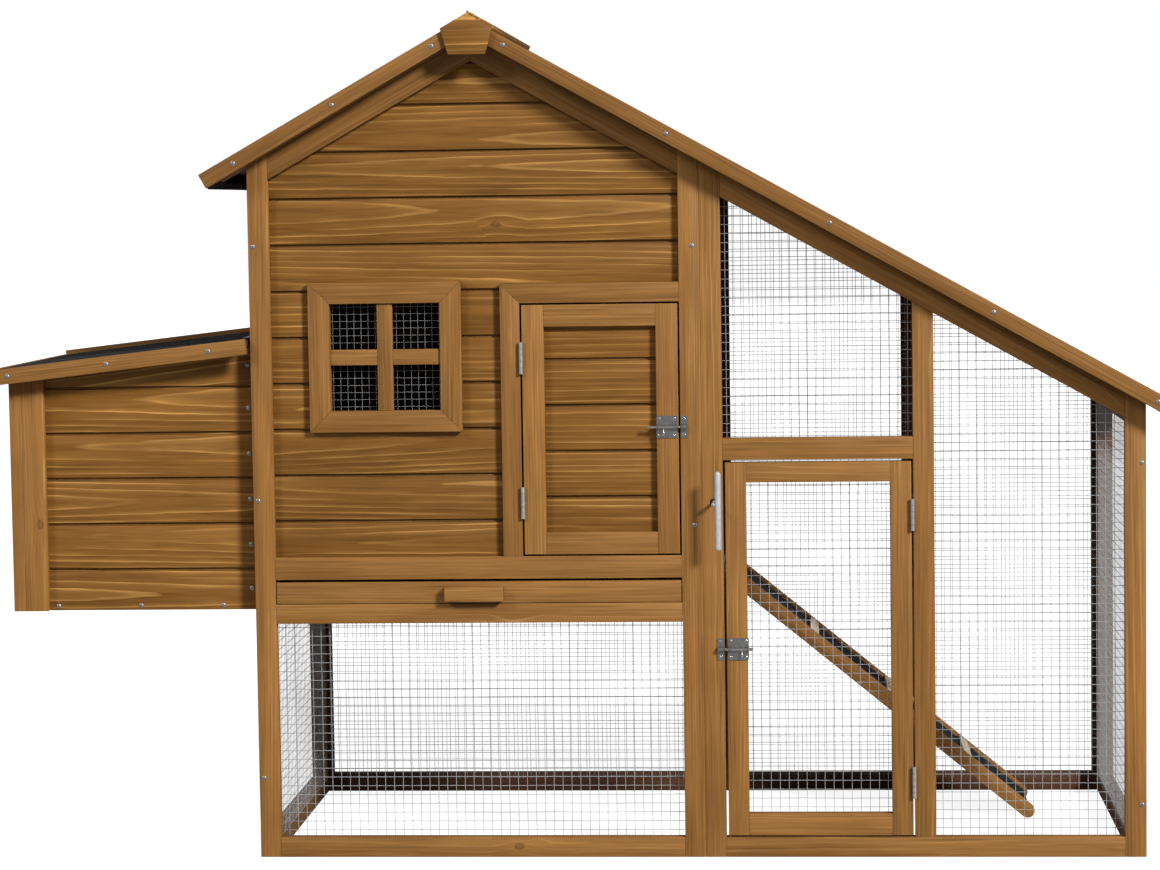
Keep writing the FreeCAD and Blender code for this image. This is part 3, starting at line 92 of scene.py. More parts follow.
# ------------------------------------------------------------------ node trees
class NodeWeb:
    """Writes one material's nodes; most calls return the socket that carries on."""

    def __init__(self, name: str) -> None:
        """Start a material with only its surface shader and output.

        Args:
            name: the material's name.
        """
        self.material = bpy.data.materials.new(name)
        self.material.use_nodes = True
        self.tree = self.material.node_tree
        self.surface = self.tree.nodes["Principled BSDF"]

    def node(self, kind: str, **settings: object) -> bpy.types.Node:
        """Add a node of a kind with its settings."""
        made = self.tree.nodes.new(kind)
        for key, value in settings.items():
            setattr(made, key, value)
        return made

    def feed(self, socket: Socket, value: object) -> None:
        """Link a socket, or set the socket's own value."""
        if isinstance(value, bpy.types.NodeSocket):
            self.tree.links.new(value, socket)
        else:
            socket.default_value = value

    def math(self, operation: str, first: object, second: object = 0.0, clamp: bool = False) -> Socket:
        """A sum on one or two values."""
        made = self.node("ShaderNodeMath", operation=operation, use_clamp=clamp)
        self.feed(made.inputs[0], first)
        self.feed(made.inputs[1], second)
        return made.outputs[0]

    def scaled(self, value: Socket, low: float, high: float) -> Socket:
        """Spread a 0 to 1 value between two numbers."""
        made = self.node("ShaderNodeMapRange")
        self.feed(made.inputs["Value"], value)
        made.inputs["To Min"].default_value = low
        made.inputs["To Max"].default_value = high
        return made.outputs["Result"]

    def attribute(self, name: str) -> bpy.types.Node:
        """Read a named attribute of the mesh."""
        return self.node("ShaderNodeAttribute", attribute_name=name)

    def split(self, vector: Socket) -> list[Socket]:
        """The three parts of a vector."""
        made = self.node("ShaderNodeSeparateXYZ")
        self.feed(made.inputs[0], vector)
        return list(made.outputs)

    def joined(self, x: object, y: object, z: object) -> Socket:
        """A vector from three values."""
        made = self.node("ShaderNodeCombineXYZ")
        for socket, value in zip(made.inputs, (x, y, z)):
            self.feed(socket, value)
        return made.outputs[0]

    def cloud(self, vector: Socket, scale: float, detail: float = 2.0, rough: float = 0.5) -> Socket:
        """Smooth noise from 0 to 1 at a scale per metre."""
        made = self.node("ShaderNodeTexNoise")
        self.feed(made.inputs["Vector"], vector)
        made.inputs["Scale"].default_value = scale
        made.inputs["Detail"].default_value = detail
        made.inputs["Roughness"].default_value = rough
        return made.outputs["Fac"]

    def cells(self, vector: Socket, scale: float, feature: str = "F1") -> bpy.types.Node:
        """Cells at a scale per metre."""
        made = self.node("ShaderNodeTexVoronoi", feature=feature)
        self.feed(made.inputs["Vector"], vector)
        made.inputs["Scale"].default_value = scale
        return made

    def ramp(self, value: Socket, stops: Iterable[tuple[float, float]]) -> Socket:
        """Reshape a value by straight steps between stops."""
        made = self.node("ShaderNodeValToRGB")
        self.feed(made.inputs["Fac"], value)
        band = made.color_ramp
        for index, (place, level) in enumerate(stops):
            stop = band.elements[index] if index < 2 else band.elements.new(place)
            stop.position = place
            stop.color = (level, level, level, 1.0)
        return made.outputs["Color"]

    def blend(self, share: object, first: object, second: object, kind: str = "MIX") -> Socket:
        """Mix two colours."""
        made = self.node("ShaderNodeMix", data_type="RGBA", blend_type=kind)
        self.feed(made.inputs["Factor"], share)
        for socket, value in ((made.inputs["A"], first), (made.inputs["B"], second)):
            self.feed(socket, (*value, 1.0) if isinstance(value, tuple) else value)
        return made.outputs["Result"]

    def lit_by(self, colour: Socket, factor: Socket) -> Socket:
        """A colour made lighter or darker by a factor."""
        made = self.node("ShaderNodeVectorMath", operation="SCALE")
        self.feed(made.inputs[0], colour)
        self.feed(made.inputs["Scale"], factor)
        return made.outputs[0]

    def bump(self, height: Socket, depth: float, strength: float = 1.0) -> None:
        """Raise the surface by a height from 0 to 1, depth in metres."""
        made = self.node("ShaderNodeBump")
        made.inputs["Distance"].default_value = depth
        made.inputs["Strength"].default_value = strength
        self.feed(made.inputs["Height"], height)
        self.feed(self.surface.inputs["Normal"], made.outputs[0])

    def finish(self, **inputs: object) -> bpy.types.Material:
        """Set or link the surface's own sockets and hand over the material.

        Args:
            inputs: socket names with underscores for spaces.

        Returns:
            The finished material.
        """
        for key, value in inputs.items():
            socket = self.surface.inputs[key.replace("_", " ")]
            self.feed(socket, (*value, 1.0) if isinstance(value, tuple) else value)
        return self.material


# ------------------------------------------------------------------ finishes
@dataclass(frozen=True)
class StainedFir:
    """Flat-sawn fir under a translucent stain: dark soft wood, pale late-wood lines."""

    name: str
    soft: Colour
    band: Colour
    shade: Colour
    ring_pitch: float = 7.5 * MM
    lines: float = 0.8
    drift: float = 5.0 * MM
    point: float = 0.16
    contrast: float = 0.42
    knot_share: float = 0.12
    roughness: float = 0.5

    def material(self) -> bpy.types.Material:
        """Rings round a wandering pith, read in each board's own directions.

        Returns:
            The material; it reads the attributes grain, board and the face attribute that holds end-grain stain and
            painted groove shade.
        """
        web = NodeWeb(self.name)
        along, across, through = web.split(web.attribute("grain").outputs["Vector"])
        tone, seed, pith = web.split(web.attribute("board").outputs["Vector"])
        drift = web.cloud(web.joined(web.math("MULTIPLY", along, 2.2), seed, 3.1), 1.0, 1.0)
        sway = web.cloud(web.joined(web.math("MULTIPLY", along, 1.6), seed, 9.7), 1.0, 1.0)
        ripple_place = web.joined(web.math("MULTIPLY", along, 11.0), web.math("MULTIPLY", across, 55.0), seed)
        ripple = web.cloud(ripple_place, 1.0, 2.0)
        depth = web.math("ADD", web.math("ADD", through, pith), web.scaled(drift, -self.drift, self.drift))
        side = web.math("ADD", across, web.scaled(sway, -self.drift, self.drift))
        square = web.math("MULTIPLY", side, side)
        reach = web.math("SQRT", web.math("ADD", square, web.math("MULTIPLY", depth, depth)))
        point = web.math("SQRT", web.math("ADD", square, 4e-6))
        reach = web.math("ADD", reach, web.math("MULTIPLY", point, self.point))
        reach = web.math("ADD", reach, web.scaled(ripple, -0.0018, 0.0018))
        knot_place = web.joined(web.math("ADD", web.math("MULTIPLY", along, 4.2), web.math("MULTIPLY", seed, 5.3)),
                                web.math("ADD", web.math("MULTIPLY", across, 6.5), web.math("MULTIPLY", seed, 2.9)), 0.0)
        knots = web.cells(knot_place, 1.0)
        knots.voronoi_dimensions = "2D"
        rare = web.math("LESS_THAN", web.split(knots.outputs["Color"])[0], self.knot_share)
        swell = web.ramp(knots.outputs["Distance"], ((0.0, 1.0), (0.06, 0.55), (0.24, 0.0)))
        reach = web.math("ADD", reach, web.math("MULTIPLY", web.math("MULTIPLY", swell, rare), 0.009))
        count = web.math("DIVIDE", reach, self.ring_pitch)
        ring = web.math("FRACT", count)
        late = web.ramp(ring, ((0.0, 0.0), (0.5, 0.04), (0.8, 0.3), (0.91, 1.0), (0.97, 0.7), (1.0, 0.0)))
        year_place = web.joined(web.math("FLOOR", count), seed, web.math("MULTIPLY", along, 1.3))
        year = web.cloud(year_place, 2.37, 1.0)
        late = web.math("MULTIPLY", late, web.ramp(year, ((0.36, 0.08), (0.66, 1.0))))
        fibre_place = web.joined(web.math("MULTIPLY", along, 9.0), web.math("MULTIPLY", across, 430.0),
                                 web.math("ADD", web.math("MULTIPLY", through, 430.0), seed))
        fibre = web.cloud(fibre_place, 1.0, 3.0, 0.62)
        streak_place = web.joined(web.math("MULTIPLY", along, 2.4), web.math("MULTIPLY", across, 60.0), seed)
        streak = web.cloud(streak_place, 1.0, 3.0, 0.65)
        blotch_place = web.joined(web.math("MULTIPLY", along, 4.5), web.math("MULTIPLY", across, 24.0), seed)
        blotch = web.ramp(web.cloud(blotch_place, 1.0, 3.0, 0.6), ((0.38, 0.0), (0.72, 1.0)))
        colour = web.blend(web.math("MULTIPLY", late, self.lines), self.soft, self.band)
        colour = web.blend(web.math("MULTIPLY", blotch, 0.5), colour, self.shade)
        knot = web.ramp(knots.outputs["Distance"], ((0.0, 0.55), (0.022, 0.5), (0.03, 1.0), (0.042, 0.0)))
        colour = web.blend(web.math("MULTIPLY", knot, web.math("MULTIPLY", rare, 0.75)), colour, (0.075, 0.03, 0.01))
        # the board's tone; on the side frames it carries painted shade and on the ridge cover a painted highlight
        factor = web.math("ADD", web.scaled(fibre, 0.68, 1.32), web.math("MULTIPLY", tone, 0.24))
        factor = web.math("MULTIPLY", factor, web.scaled(streak, 1.0 - self.contrast, 1.0 + self.contrast))
        hair_place = web.joined(web.math("MULTIPLY", along, 4.0), web.math("MULTIPLY", across, 260.0),
                                web.math("ADD", web.math("MULTIPLY", through, 260.0), seed))
        hair = web.ramp(web.cloud(hair_place, 1.0, 2.0, 0.5), ((0.34, 0.0), (0.44, 1.0)))
        factor = web.math("MULTIPLY", factor, web.scaled(hair, 0.8, 1.03))
        # darker end grain from the stain, and painted shade on board side faces in the grooves
        dark = web.attribute("end_grain_stain_and_groove_shade").outputs["Fac"]
        factor = web.math("MULTIPLY", factor, web.math("SUBTRACT", 1.0, dark))
        height = web.math("ADD", web.math("MULTIPLY", late, 0.4), web.math("MULTIPLY", fibre, 0.6))
        web.bump(height, 0.25 * MM, 0.75)
        rough = web.math("ADD", web.scaled(fibre, self.roughness - 0.08, self.roughness + 0.12),
                         web.math("MULTIPLY", dark, 0.3))
        return web.finish(Base_Color=web.lit_by(colour, factor), Roughness=rough, Specular_IOR_Level=0.16)


@dataclass(frozen=True)
class MineralFelt:
    """Bitumen felt with a bonded mineral grit."""

    name: str
    base: Colour
    grit: Colour
    grains_per_metre: float = 620.0
    pale_share: float = 0.12

    def material(self) -> bpy.types.Material:
        """Dark granules with scattered pale ones and a gritty relief."""
        web = NodeWeb(self.name)
        place = web.node("ShaderNodeTexCoord").outputs["Object"]
        grains = web.cells(place, self.grains_per_metre)
        chance = web.split(grains.outputs["Color"])[0]
        pale = web.math("GREATER_THAN", chance, 1.0 - self.pale_share)
        tint = web.scaled(web.split(grains.outputs["Color"])[1], 0.55, 1.5)
        worn = web.cloud(place, 6.0, 4.0, 0.6)
        colour = web.blend(web.math("MULTIPLY", pale, 0.75), self.base, self.grit)
        colour = web.lit_by(colour, web.math("MULTIPLY", tint, web.scaled(worn, 0.75, 1.25)))
        height = web.math("SUBTRACT", 1.0, grains.outputs["Distance"])
        web.bump(height, 0.7 * MM, 0.9)
        return web.finish(Base_Color=colour, Roughness=0.95, Specular_IOR_Level=0.05)


@dataclass(frozen=True)
class ZincCoat:
    """Zinc over steel: a faint spangle, handling scuffs and dull spots."""

    name: str
    colour: Colour
    metal: float
    smooth: float
    dull: float
    spangles_per_metre: float = 210.0

    def material(self) -> bpy.types.Material:
        """Metal whose crystals and scuffs vary its tint and gloss."""
        web = NodeWeb(self.name)
        place = web.node("ShaderNodeTexCoord").outputs["Object"]
        spangle = web.split(web.cells(place, self.spangles_per_metre).outputs["Color"])[0]
        scuff = web.cloud(place, 95.0, 6.0, 0.7)
        stain = web.ramp(web.cloud(place, 22.0, 4.0, 0.6), ((0.45, 0.0), (0.75, 1.0)))
        factor = web.math("ADD", web.scaled(spangle, 0.86, 1.06), web.scaled(scuff, -0.1, 0.1))
        factor = web.math("SUBTRACT", factor, web.math("MULTIPLY", stain, 0.12))
        rough = web.math("ADD", web.scaled(scuff, self.smooth, self.dull), web.math("MULTIPLY", stain, 0.1))
        web.bump(scuff, 0.05 * MM, 0.2)
        colour = web.lit_by(web.blend(0.0, self.colour, self.colour), factor)
        return web.finish(Base_Color=colour, Metallic=self.metal, Roughness=rough)


@dataclass(frozen=True)
class StudioFloor:
    """A plain pale studio table."""

    name: str = "studio_floor"
    colour: Colour = (0.32, 0.32, 0.33)
    glow: float = 0.9

    def material(self) -> bpy.types.Material:
        """Matt white with an even glow that shows on the table but lights nothing else."""
        web = NodeWeb(self.name)
        seen = web.node("ShaderNodeLightPath").outputs["Is Camera Ray"]
        return web.finish(Base_Color=self.colour, Roughness=0.9, Specular_IOR_Level=0.1,
                          Emission_Color=(1.0, 1.0, 1.0), Emission_Strength=web.math("MULTIPLY", seen, self.glow))


class Finish(Enum):
    """Every finish on the coop, each with the record's material slot."""

    FRAME = ("frame_fir", StainedFir("stained_frame_fir", (0.255, 0.116, 0.028), (0.43, 0.235, 0.085),
                                     (0.150, 0.062, 0.013), ring_pitch=5.0 * MM, lines=0.6, drift=4.0 * MM))
    # painted shade: a copy of the frame fir about three times darker, for the back posts and rails
    INNER = ("frame_fir", StainedFir("inner_fir_in_painted_shade", (0.078, 0.033, 0.015), (0.13, 0.065, 0.034),
                                     (0.050, 0.020, 0.010), ring_pitch=5.0 * MM, lines=0.6, drift=4.0 * MM))
    BOARD = ("board_fir", StainedFir("stained_board_fir", (0.190, 0.081, 0.014), (0.52, 0.27, 0.074),
                                     (0.112, 0.045, 0.007), ring_pitch=10.0 * MM, lines=1.0))
    PERCH = ("perch_wood", StainedFir("planed_raw_fir", (0.50, 0.41, 0.31), (0.62, 0.53, 0.42),
                                      (0.40, 0.31, 0.22), lines=0.6, roughness=0.65))
    FELT = ("roof_felt", MineralFelt("mineral_roof_felt", (0.017, 0.017, 0.018), (0.15, 0.15, 0.15)))
    RAMP_FELT = ("ramp_felt", MineralFelt("mineral_ramp_felt", (0.012, 0.013, 0.015), (0.10, 0.11, 0.12)))
    WIRE = ("wire", ZincCoat("galvanised_wire", (0.37, 0.375, 0.39), 0.25, 0.35, 0.55))
    ZINC = ("galvanised", ZincCoat("galvanised_fittings", (0.30, 0.30, 0.29), 0.9, 0.18, 0.42))
    LEAF = ("galvanised", ZincCoat("hinge_leaf_zinc", (0.42, 0.42, 0.40), 0.6, 0.25, 0.45))
    SCREW = ("galvanised", ZincCoat("zinc_screw_heads", (0.30, 0.305, 0.31), 0.85, 0.35, 0.5))
    GRIP = ("galvanised", ZincCoat("dull_grip_zinc", (0.43, 0.45, 0.47), 0.15, 0.35, 0.5))
    BRIGHT = ("bright_steel", ZincCoat("bright_plated_steel", (0.62, 0.62, 0.61), 1.0, 0.14, 0.3))

    @property
    def slot(self) -> str:
        """The record's material slot."""
        return self.value[0]

    @property
    def surface(self) -> bpy.types.Material:
        """The finish's material, built the first time it is asked for."""
        found = bpy.data.materials.get(self.value[1].name)
        return found or self.value[1].material()


# ------------------------------------------------------------------ shared workshop steps
def cad_mesh(node: str) -> bmesh.types.BMesh:
    """Copy a CAD node's mesh with each of its solids closed and apart from the others.

    Args:
        node: the CAD node's name.

    Returns:
        A bmesh in which no two solids share a vertex, even where they touch.
    """
    source = frame["nodes"][node].data
    places = [tuple(round(value, 6) for value in vertex.co) for vertex in source.vertices]
    made = bmesh.new()
    unmatched: set[tuple] = set()
    corners: dict[tuple, bmesh.types.BMVert] = {}
    for triangle in source.polygons:
        keys = [places[index] for index in triangle.vertices]
        for start, end in zip(keys, keys[1:] + keys[:1]):
            if (end, start) in unmatched:
                unmatched.discard((end, start))
            else:
                unmatched.add((start, end))
        for key in keys:
            if key not in corners:
                corners[key] = made.verts.new(key)
        if len({*keys}) == 3:
            made.faces.new([corners[key] for key in keys])
        if not unmatched:
            corners = {}
    bmesh.ops.dissolve_limit(made, angle_limit=math.radians(0.6), verts=made.verts, edges=made.edges)
    return made


def solid_groups(mesh: bmesh.types.BMesh) -> list[list[bmesh.types.BMVert]]:
    """The vertices of each separate solid in a bmesh."""
    seen: set[bmesh.types.BMVert] = set()
    groups = []
    for first in mesh.verts:
        if first in seen:
            continue
        seen.add(first)
        group, front = [], [first]
        while front:
            vertex = front.pop()
            group.append(vertex)
            for edge in vertex.link_edges:
                other = edge.other_vert(vertex)
                if other not in seen:
                    seen.add(other)
                    front.append(other)
        groups.append(group)
    return groups


def ease_edges(mesh: bmesh.types.BMesh, width: float, segments: int = 2, above: float = 32.0) -> None:
    """Round every edge that is sharper than an angle in degrees."""
    sharp = [edge for edge in mesh.edges if edge.is_manifold and edge.calc_face_angle(0.0) > math.radians(above)]
    bmesh.ops.bevel(mesh, geom=sharp, offset=width, offset_type="OFFSET", affect="EDGES", segments=segments,
                    profile=0.5, material=-1, clamp_overlap=True)


def piece_from(mesh: bmesh.types.BMesh, name: str, body: str, finish: Finish, replaced: Iterable[str] = (),
               smooth_below: float = 28.0, second: Finish | None = None) -> bpy.types.Object:
    """Turn a bmesh into a piece of the coop.

    Args:
        mesh: the piece's mesh, in the shared frame; it is freed.
        name: the piece's name.
        body: the CAD body it rides on.
        finish: its finish.
        replaced: the CAD nodes it stands for.
        smooth_below: faces that meet at less than this many degrees are shaded smooth.
        second: the finish of the faces with material index 1.

    Returns:
        The piece's object.
    """
    data = bpy.data.meshes.new(name)
    mesh.to_mesh(data)
    mesh.free()
    data.materials.append(finish.surface)
    if second:
        data.materials.append(second.surface)
    data.shade_smooth()
    data.set_sharp_from_angle(angle=math.radians(smooth_below))
    piece = bpy.data.objects.new(name, data)
    bpy.context.scene.collection.objects.link(piece)
    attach(piece, body)
    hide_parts(*replaced)
    LOG.info("%s: %d faces on %s", name, len(data.polygons), body)
    return piece


def body_of_node(node: str) -> str:
    """The CAD body that a node belongs to."""
    return frame["nodes"][node]["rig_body"]


def add_block(mesh: bmesh.types.BMesh, low: Vector, high: Vector) -> list[bmesh.types.BMVert]:
    """Add a block between two corners."""
    middle, size = (low + high) / 2, high - low
    placed = Matrix.Translation(middle) @ Matrix.Diagonal((*size, 1.0))
    return bmesh.ops.create_cube(mesh, size=1.0, matrix=placed)["verts"]


def add_bar(mesh: bmesh.types.BMesh, start: Vector, end: Vector, radius: float, sides: int = 24,
            end_radius: float | None = None) -> list[bmesh.types.BMVert]:
    """Add a round bar, or a taper, from one point to another."""
    run = end - start
    turn = run.to_track_quat("Z", "Y").to_matrix().to_4x4()
    placed = Matrix.Translation((start + end) / 2) @ turn
    far = radius if end_radius is None else end_radius
    return bmesh.ops.create_cone(mesh, cap_ends=True, segments=sides, radius1=radius, radius2=far,
                                 depth=run.length, matrix=placed)["verts"]


def add_copy(mesh: bmesh.types.BMesh, pattern: bpy.types.Mesh, placed: Matrix) -> None:
    """Add a copy of a pattern mesh at a place."""
    before = set(mesh.verts)
    mesh.from_mesh(pattern)
    bmesh.ops.transform(mesh, matrix=placed, verts=[vertex for vertex in mesh.verts if vertex not in before])


# ------------------------------------------------------------------ timber
@dataclass
class Joinery:
    """The planed boards, posts and rails of one CAD node."""

    node: str
    finish: Finish
    arris: float = 1.1 * MM
    pith_depth: float = 36.0 * MM
    pith_aside: tuple[float, float] = (12.0 * MM, 55.0 * MM)
    taper: float = 0.012
    grain_axis: Axis | None = None
    tone: float = 0.0
    tone_spread: float = 0.35
    end_dark: float = 0.35
    # painted shade on the side faces of boards, in the grooves between them
    painted_groove_shade: float = 0.0

    def directions(self, faces: list[bmesh.types.BMFace],
                   edges: list[bmesh.types.BMEdge]) -> tuple[Vector, Vector, Vector]:
        """A board's own directions.

        Args:
            faces: the board's faces.
            edges: the board's edges.

        Returns:
            Along the grain, across the board's wide face, and through its thickness.
        """
        corners = [edge for edge in edges if edge.calc_face_angle(0.0) > 0.1]
        longest = max(corners or edges, key=lambda edge: edge.calc_length())
        along = (longest.verts[1].co - longest.verts[0].co).normalized()
        if self.grain_axis:
            along = self.grain_axis.value.copy()
        wide = max((face for face in faces if abs(face.normal.dot(along)) < 0.5), key=lambda face: face.calc_area())
        through = (wide.normal - along * wide.normal.dot(along)).normalized()
        if sum(along) < 0:
            along = -along
        return along, through.cross(along), through

    def mark_grain(self, mesh: bmesh.types.BMesh, dice: random.Random) -> None:
        """Write each board's own coordinates, tone, end-grain stain and painted groove shade on its mesh.

        Args:
            mesh: the node's boards.
            dice: the source of each board's cut from its log.
        """
        grain = mesh.verts.layers.float_vector.new("grain")
        board = mesh.verts.layers.float_vector.new("board")
        end_grain_stain_and_groove_shade = mesh.faces.layers.float.new("end_grain_stain_and_groove_shade")
        groups = solid_groups(mesh)
        groups.sort(key=lambda group: tuple(round(sum(v.co[i] for v in group) / len(group), 4) for i in (2, 0, 1)))
        for group in groups:
            faces = list({face for vertex in group for face in vertex.link_faces})
            edges = list({edge for vertex in group for edge in vertex.link_edges})
            along, across, through = self.directions(faces, edges)
            middle = sum((vertex.co for vertex in group), Vector()) / len(group)
            aside = dice.choice((-1.0, 1.0)) * dice.uniform(*self.pith_aside)
            offset = Vector((dice.uniform(-3.0, 3.0), aside, 0.0))
            length = max(edge.calc_length() for edge in edges)
            taper = dice.choice((-1.0, 1.0)) * self.taper * dice.uniform(0.6, 1.4) * min(1.0, length / (450.0 * MM))
            skew = dice.uniform(-0.008, 0.008)
            depth = dice.choice((-1.0, 1.0)) * self.pith_depth * dice.uniform(0.6, 1.4)
            tone = self.tone + dice.uniform(-self.tone_spread, self.tone_spread)
            cut = Vector((tone, dice.uniform(0.0, 40.0), depth))
            for vertex in group:
                place = vertex.co - middle
                run = place.dot(along)
                vertex[grain] = Vector((run, place.dot(across) + skew * run, place.dot(through) + taper * run)) + offset
                vertex[board] = cut
            for face in faces:
                if abs(face.normal.dot(along)) > 0.75:
                    face[end_grain_stain_and_groove_shade] = self.end_dark
                elif abs(face.normal.dot(across)) > 0.75:
                    # side faces get painted shade, the dark of the grooves between boards
                    face[end_grain_stain_and_groove_shade] = self.painted_groove_shade

    def build(self) -> bpy.types.Object:
        """Ease the arrises and mark the grain."""
        mesh = cad_mesh(self.node)
        ease_edges(mesh, self.arris)
        mesh.normal_update()
        self.mark_grain(mesh, random.Random(self.node))
        return piece_from(mesh, "timber_" + self.node, body_of_node(self.node), self.finish,
                          [self.node])


# ------------------------------------------------------------------ welded wire
@dataclass
class WeldedWire:
    """Welded wire panels in place of a node's flat sheets."""

    node: str
    pitch: float = 15.6 * MM
    radius: float = 0.53 * MM
    sides: int = 6
    kinks_per_metre: float = 11.0
    wander: float = 0.7 * MM

    def outline(self, group: list[bmesh.types.BMVert], thin: int) -> list[tuple[Vector, Vector]]:
        """The straight sides of a sheet, seen square on.

        Args:
            group: the sheet's vertices.
            thin: the index of the axis across the sheet.

        Returns:
            The start and end of each side.
        """
        level = min(vertex.co[thin] for vertex in group)
        near = {vertex for vertex in group if vertex.co[thin] < level + 0.1 * MM}
        edges = {edge for vertex in near for edge in vertex.link_edges if edge.verts[0] in near and edge.verts[1] in near}
        return [(edge.verts[0].co.copy(), edge.verts[1].co.copy()) for edge in sorted(edges, key=lambda e: e.index)]

    def span(self, sides: list[tuple[Vector, Vector]], axis: int, level: float) -> tuple[Vector, Vector] | None:
        """Where a straight line at a level crosses the sheet's outline."""
        hits = []
        for start, end in sides:
            rise = end[axis] - start[axis]
            if abs(rise) > 1e-7 and min(start[axis], end[axis]) <= level <= max(start[axis], end[axis]):
                hits.append(start.lerp(end, (level - start[axis]) / rise))
        if len(hits) < 2:
            return None
        other = max(range(3), key=lambda i: abs(hits[0][i] - hits[-1][i]))
        hits.sort(key=lambda hit: hit[other])
        return hits[0], hits[-1]

    def build(self) -> bpy.types.Object:
        """Lay the uprights, lay the cross wires on them, and let both wander a little."""
        sheets = cad_mesh(self.node)
        sheets.edges.index_update()
        wires = bmesh.new()
        for group in solid_groups(sheets):
            low = Vector([min(vertex.co[i] for vertex in group) for i in range(3)])
            high = Vector([max(vertex.co[i] for vertex in group) for i in range(3)])
            thin = min(range(3), key=lambda i: high[i] - low[i])
            sides = self.outline(group, thin)
            for layer, axis in enumerate(i for i in range(3) if i != thin):
                count = int((high[axis] - low[axis]) / self.pitch)
                margin = (high[axis] - low[axis] - count * self.pitch) / 2
                middle = (low[thin] + high[thin]) / 2 + (0.36 if layer else -0.36) * MM
                for index in range(count + 1):
                    found = self.span(sides, axis, low[axis] + margin + index * self.pitch)
                    if found is None or (found[1] - found[0]).length < self.pitch / 2:
                        continue
                    start, end = found
                    start[thin] = end[thin] = middle
                    self.add_wire(wires, start, end)
        sheets.free()
        for vertex in wires.verts:
            vertex.co += noise.noise_vector(vertex.co * 9.0) * self.wander
        return piece_from(wires, "welded_wire_" + self.node, body_of_node(self.node), Finish.WIRE, [self.node], 75.0)

    def add_wire(self, wires: bmesh.types.BMesh, start: Vector, end: Vector) -> None:
        """Add one wire with a ring of vertices at each kink."""
        made = add_bar(wires, start, end, self.radius, self.sides)
        long_edges = {edge for vertex in made for edge in vertex.link_edges if edge.calc_length() > 4 * self.radius}
        cuts = int((end - start).length * self.kinks_per_metre)
        if cuts:
            bmesh.ops.subdivide_edges(wires, edges=sorted(long_edges, key=lambda e: e.calc_length()), cuts=cuts,
                                      use_grid_fill=False)


# ------------------------------------------------------------------ screws
@dataclass
class CrossScrew:
    """A zinc pan-head screw with a cross recess."""

    radius: float = 4.3 * MM
    height: float = 1.35 * MM
    slot_width: float = 1.1 * MM
    slot_length: float = 4.6 * MM
    slot_depth: float = 0.75 * MM
    steps: int = 20
    name: str = "cross_screw_pattern"

    def pattern(self) -> bpy.types.Mesh:
        """The head alone, standing on its seat and looking along +Z.

        Returns:
            A mesh that is copied for each screw.
        """
        found = bpy.data.meshes.get(self.name)
        if found:
            return found
        head = bmesh.new()
        rim = [head.verts.new((self.radius * math.cos(a), 0.0, self.height * math.sin(a)))
               for a in (i * math.pi / 10 for i in range(5))]
        top = head.verts.new((0.0, 0.0, self.height))
        foot = head.verts.new((self.radius, 0.0, -0.2 * MM))
        chain = [foot] + rim + [top]
        edges = [head.edges.new(pair) for pair in zip(chain, chain[1:])]
        bmesh.ops.spin(head, geom=chain + edges, cent=(0, 0, 0), axis=(0, 0, 1), angle=2 * math.pi,
                       steps=self.steps, use_merge=True)
        bmesh.ops.remove_doubles(head, verts=head.verts, dist=0.01 * MM)
        half, reach = self.slot_width / 2, self.slot_length / 2
        for normal in (Axis.X.value, Axis.Y.value):
            for shift in (-reach, -half, half, reach):
                geom = head.verts[:] + head.edges[:] + head.faces[:]
                bmesh.ops.bisect_plane(head, geom=geom, plane_co=normal * shift, plane_no=normal)
        cross = []
        for face in head.faces:
            middle = face.calc_center_median()
            x, y = abs(middle.x), abs(middle.y)
            if middle.z > 0.3 * self.height and max(x, y) < reach and min(x, y) < half:
                cross.append(face)
        sunk = bmesh.ops.extrude_face_region(head, geom=cross)["geom"]
        bmesh.ops.delete(head, geom=[face for face in cross if face.is_valid], context="FACES")
        floor = [part for part in sunk if isinstance(part, bmesh.types.BMVert)]
        bmesh.ops.translate(head, verts=floor, vec=(0, 0, -self.slot_depth))
        bmesh.ops.recalc_face_normals(head, faces=head.faces)
        data = bpy.data.meshes.new(self.name)
        head.to_mesh(data)
        head.free()
        return data


@dataclass
class ScrewSet:
    """The screws of one CAD node, each turned as it happened to stop."""

    node: str
    screw: CrossScrew = field(default_factory=CrossScrew)

    def build(self) -> bpy.types.Object:
        """Put a screw on every seat."""
        seats = cad_mesh(self.node)
        heads = bmesh.new()
        dice = random.Random(self.node)
        pattern = self.screw.pattern()
        for group in solid_groups(seats):
            middle = sum((vertex.co for vertex in group), Vector()) / len(group)
            face = Face.FRONT if middle.y < 0 else Face.BACK
            near = [vertex.co.y for vertex in group]
            seat_y = max(near) if face is Face.FRONT else min(near)
            turn = Matrix.Rotation(math.radians(90.0 if face is Face.FRONT else -90.0), 4, "X")
            spin = Matrix.Rotation(dice.uniform(0, math.pi / 2), 4, "Z")
            add_copy(heads, pattern, Matrix.Translation((middle.x, seat_y, middle.z)) @ turn @ spin)
        seats.free()
        return piece_from(heads, "cross_head_" + self.node, body_of_node(self.node), Finish.SCREW, [self.node], 40.0)


# ------------------------------------------------------------------ metalwork
@dataclass
class Metalwork:
    """A fitting whose CAD shape is right, with its edges eased."""

    node: str
    finish: Finish
    edge: float = 0.25 * MM
    segments: int = 1

    def build(self) -> bpy.types.Object:
        """Ease the fitting's edges."""
        mesh = cad_mesh(self.node)
        ease_edges(mesh, self.edge, self.segments, 38.0)
        return piece_from(mesh, "fitting_" + self.node, body_of_node(self.node), self.finish, [self.node])


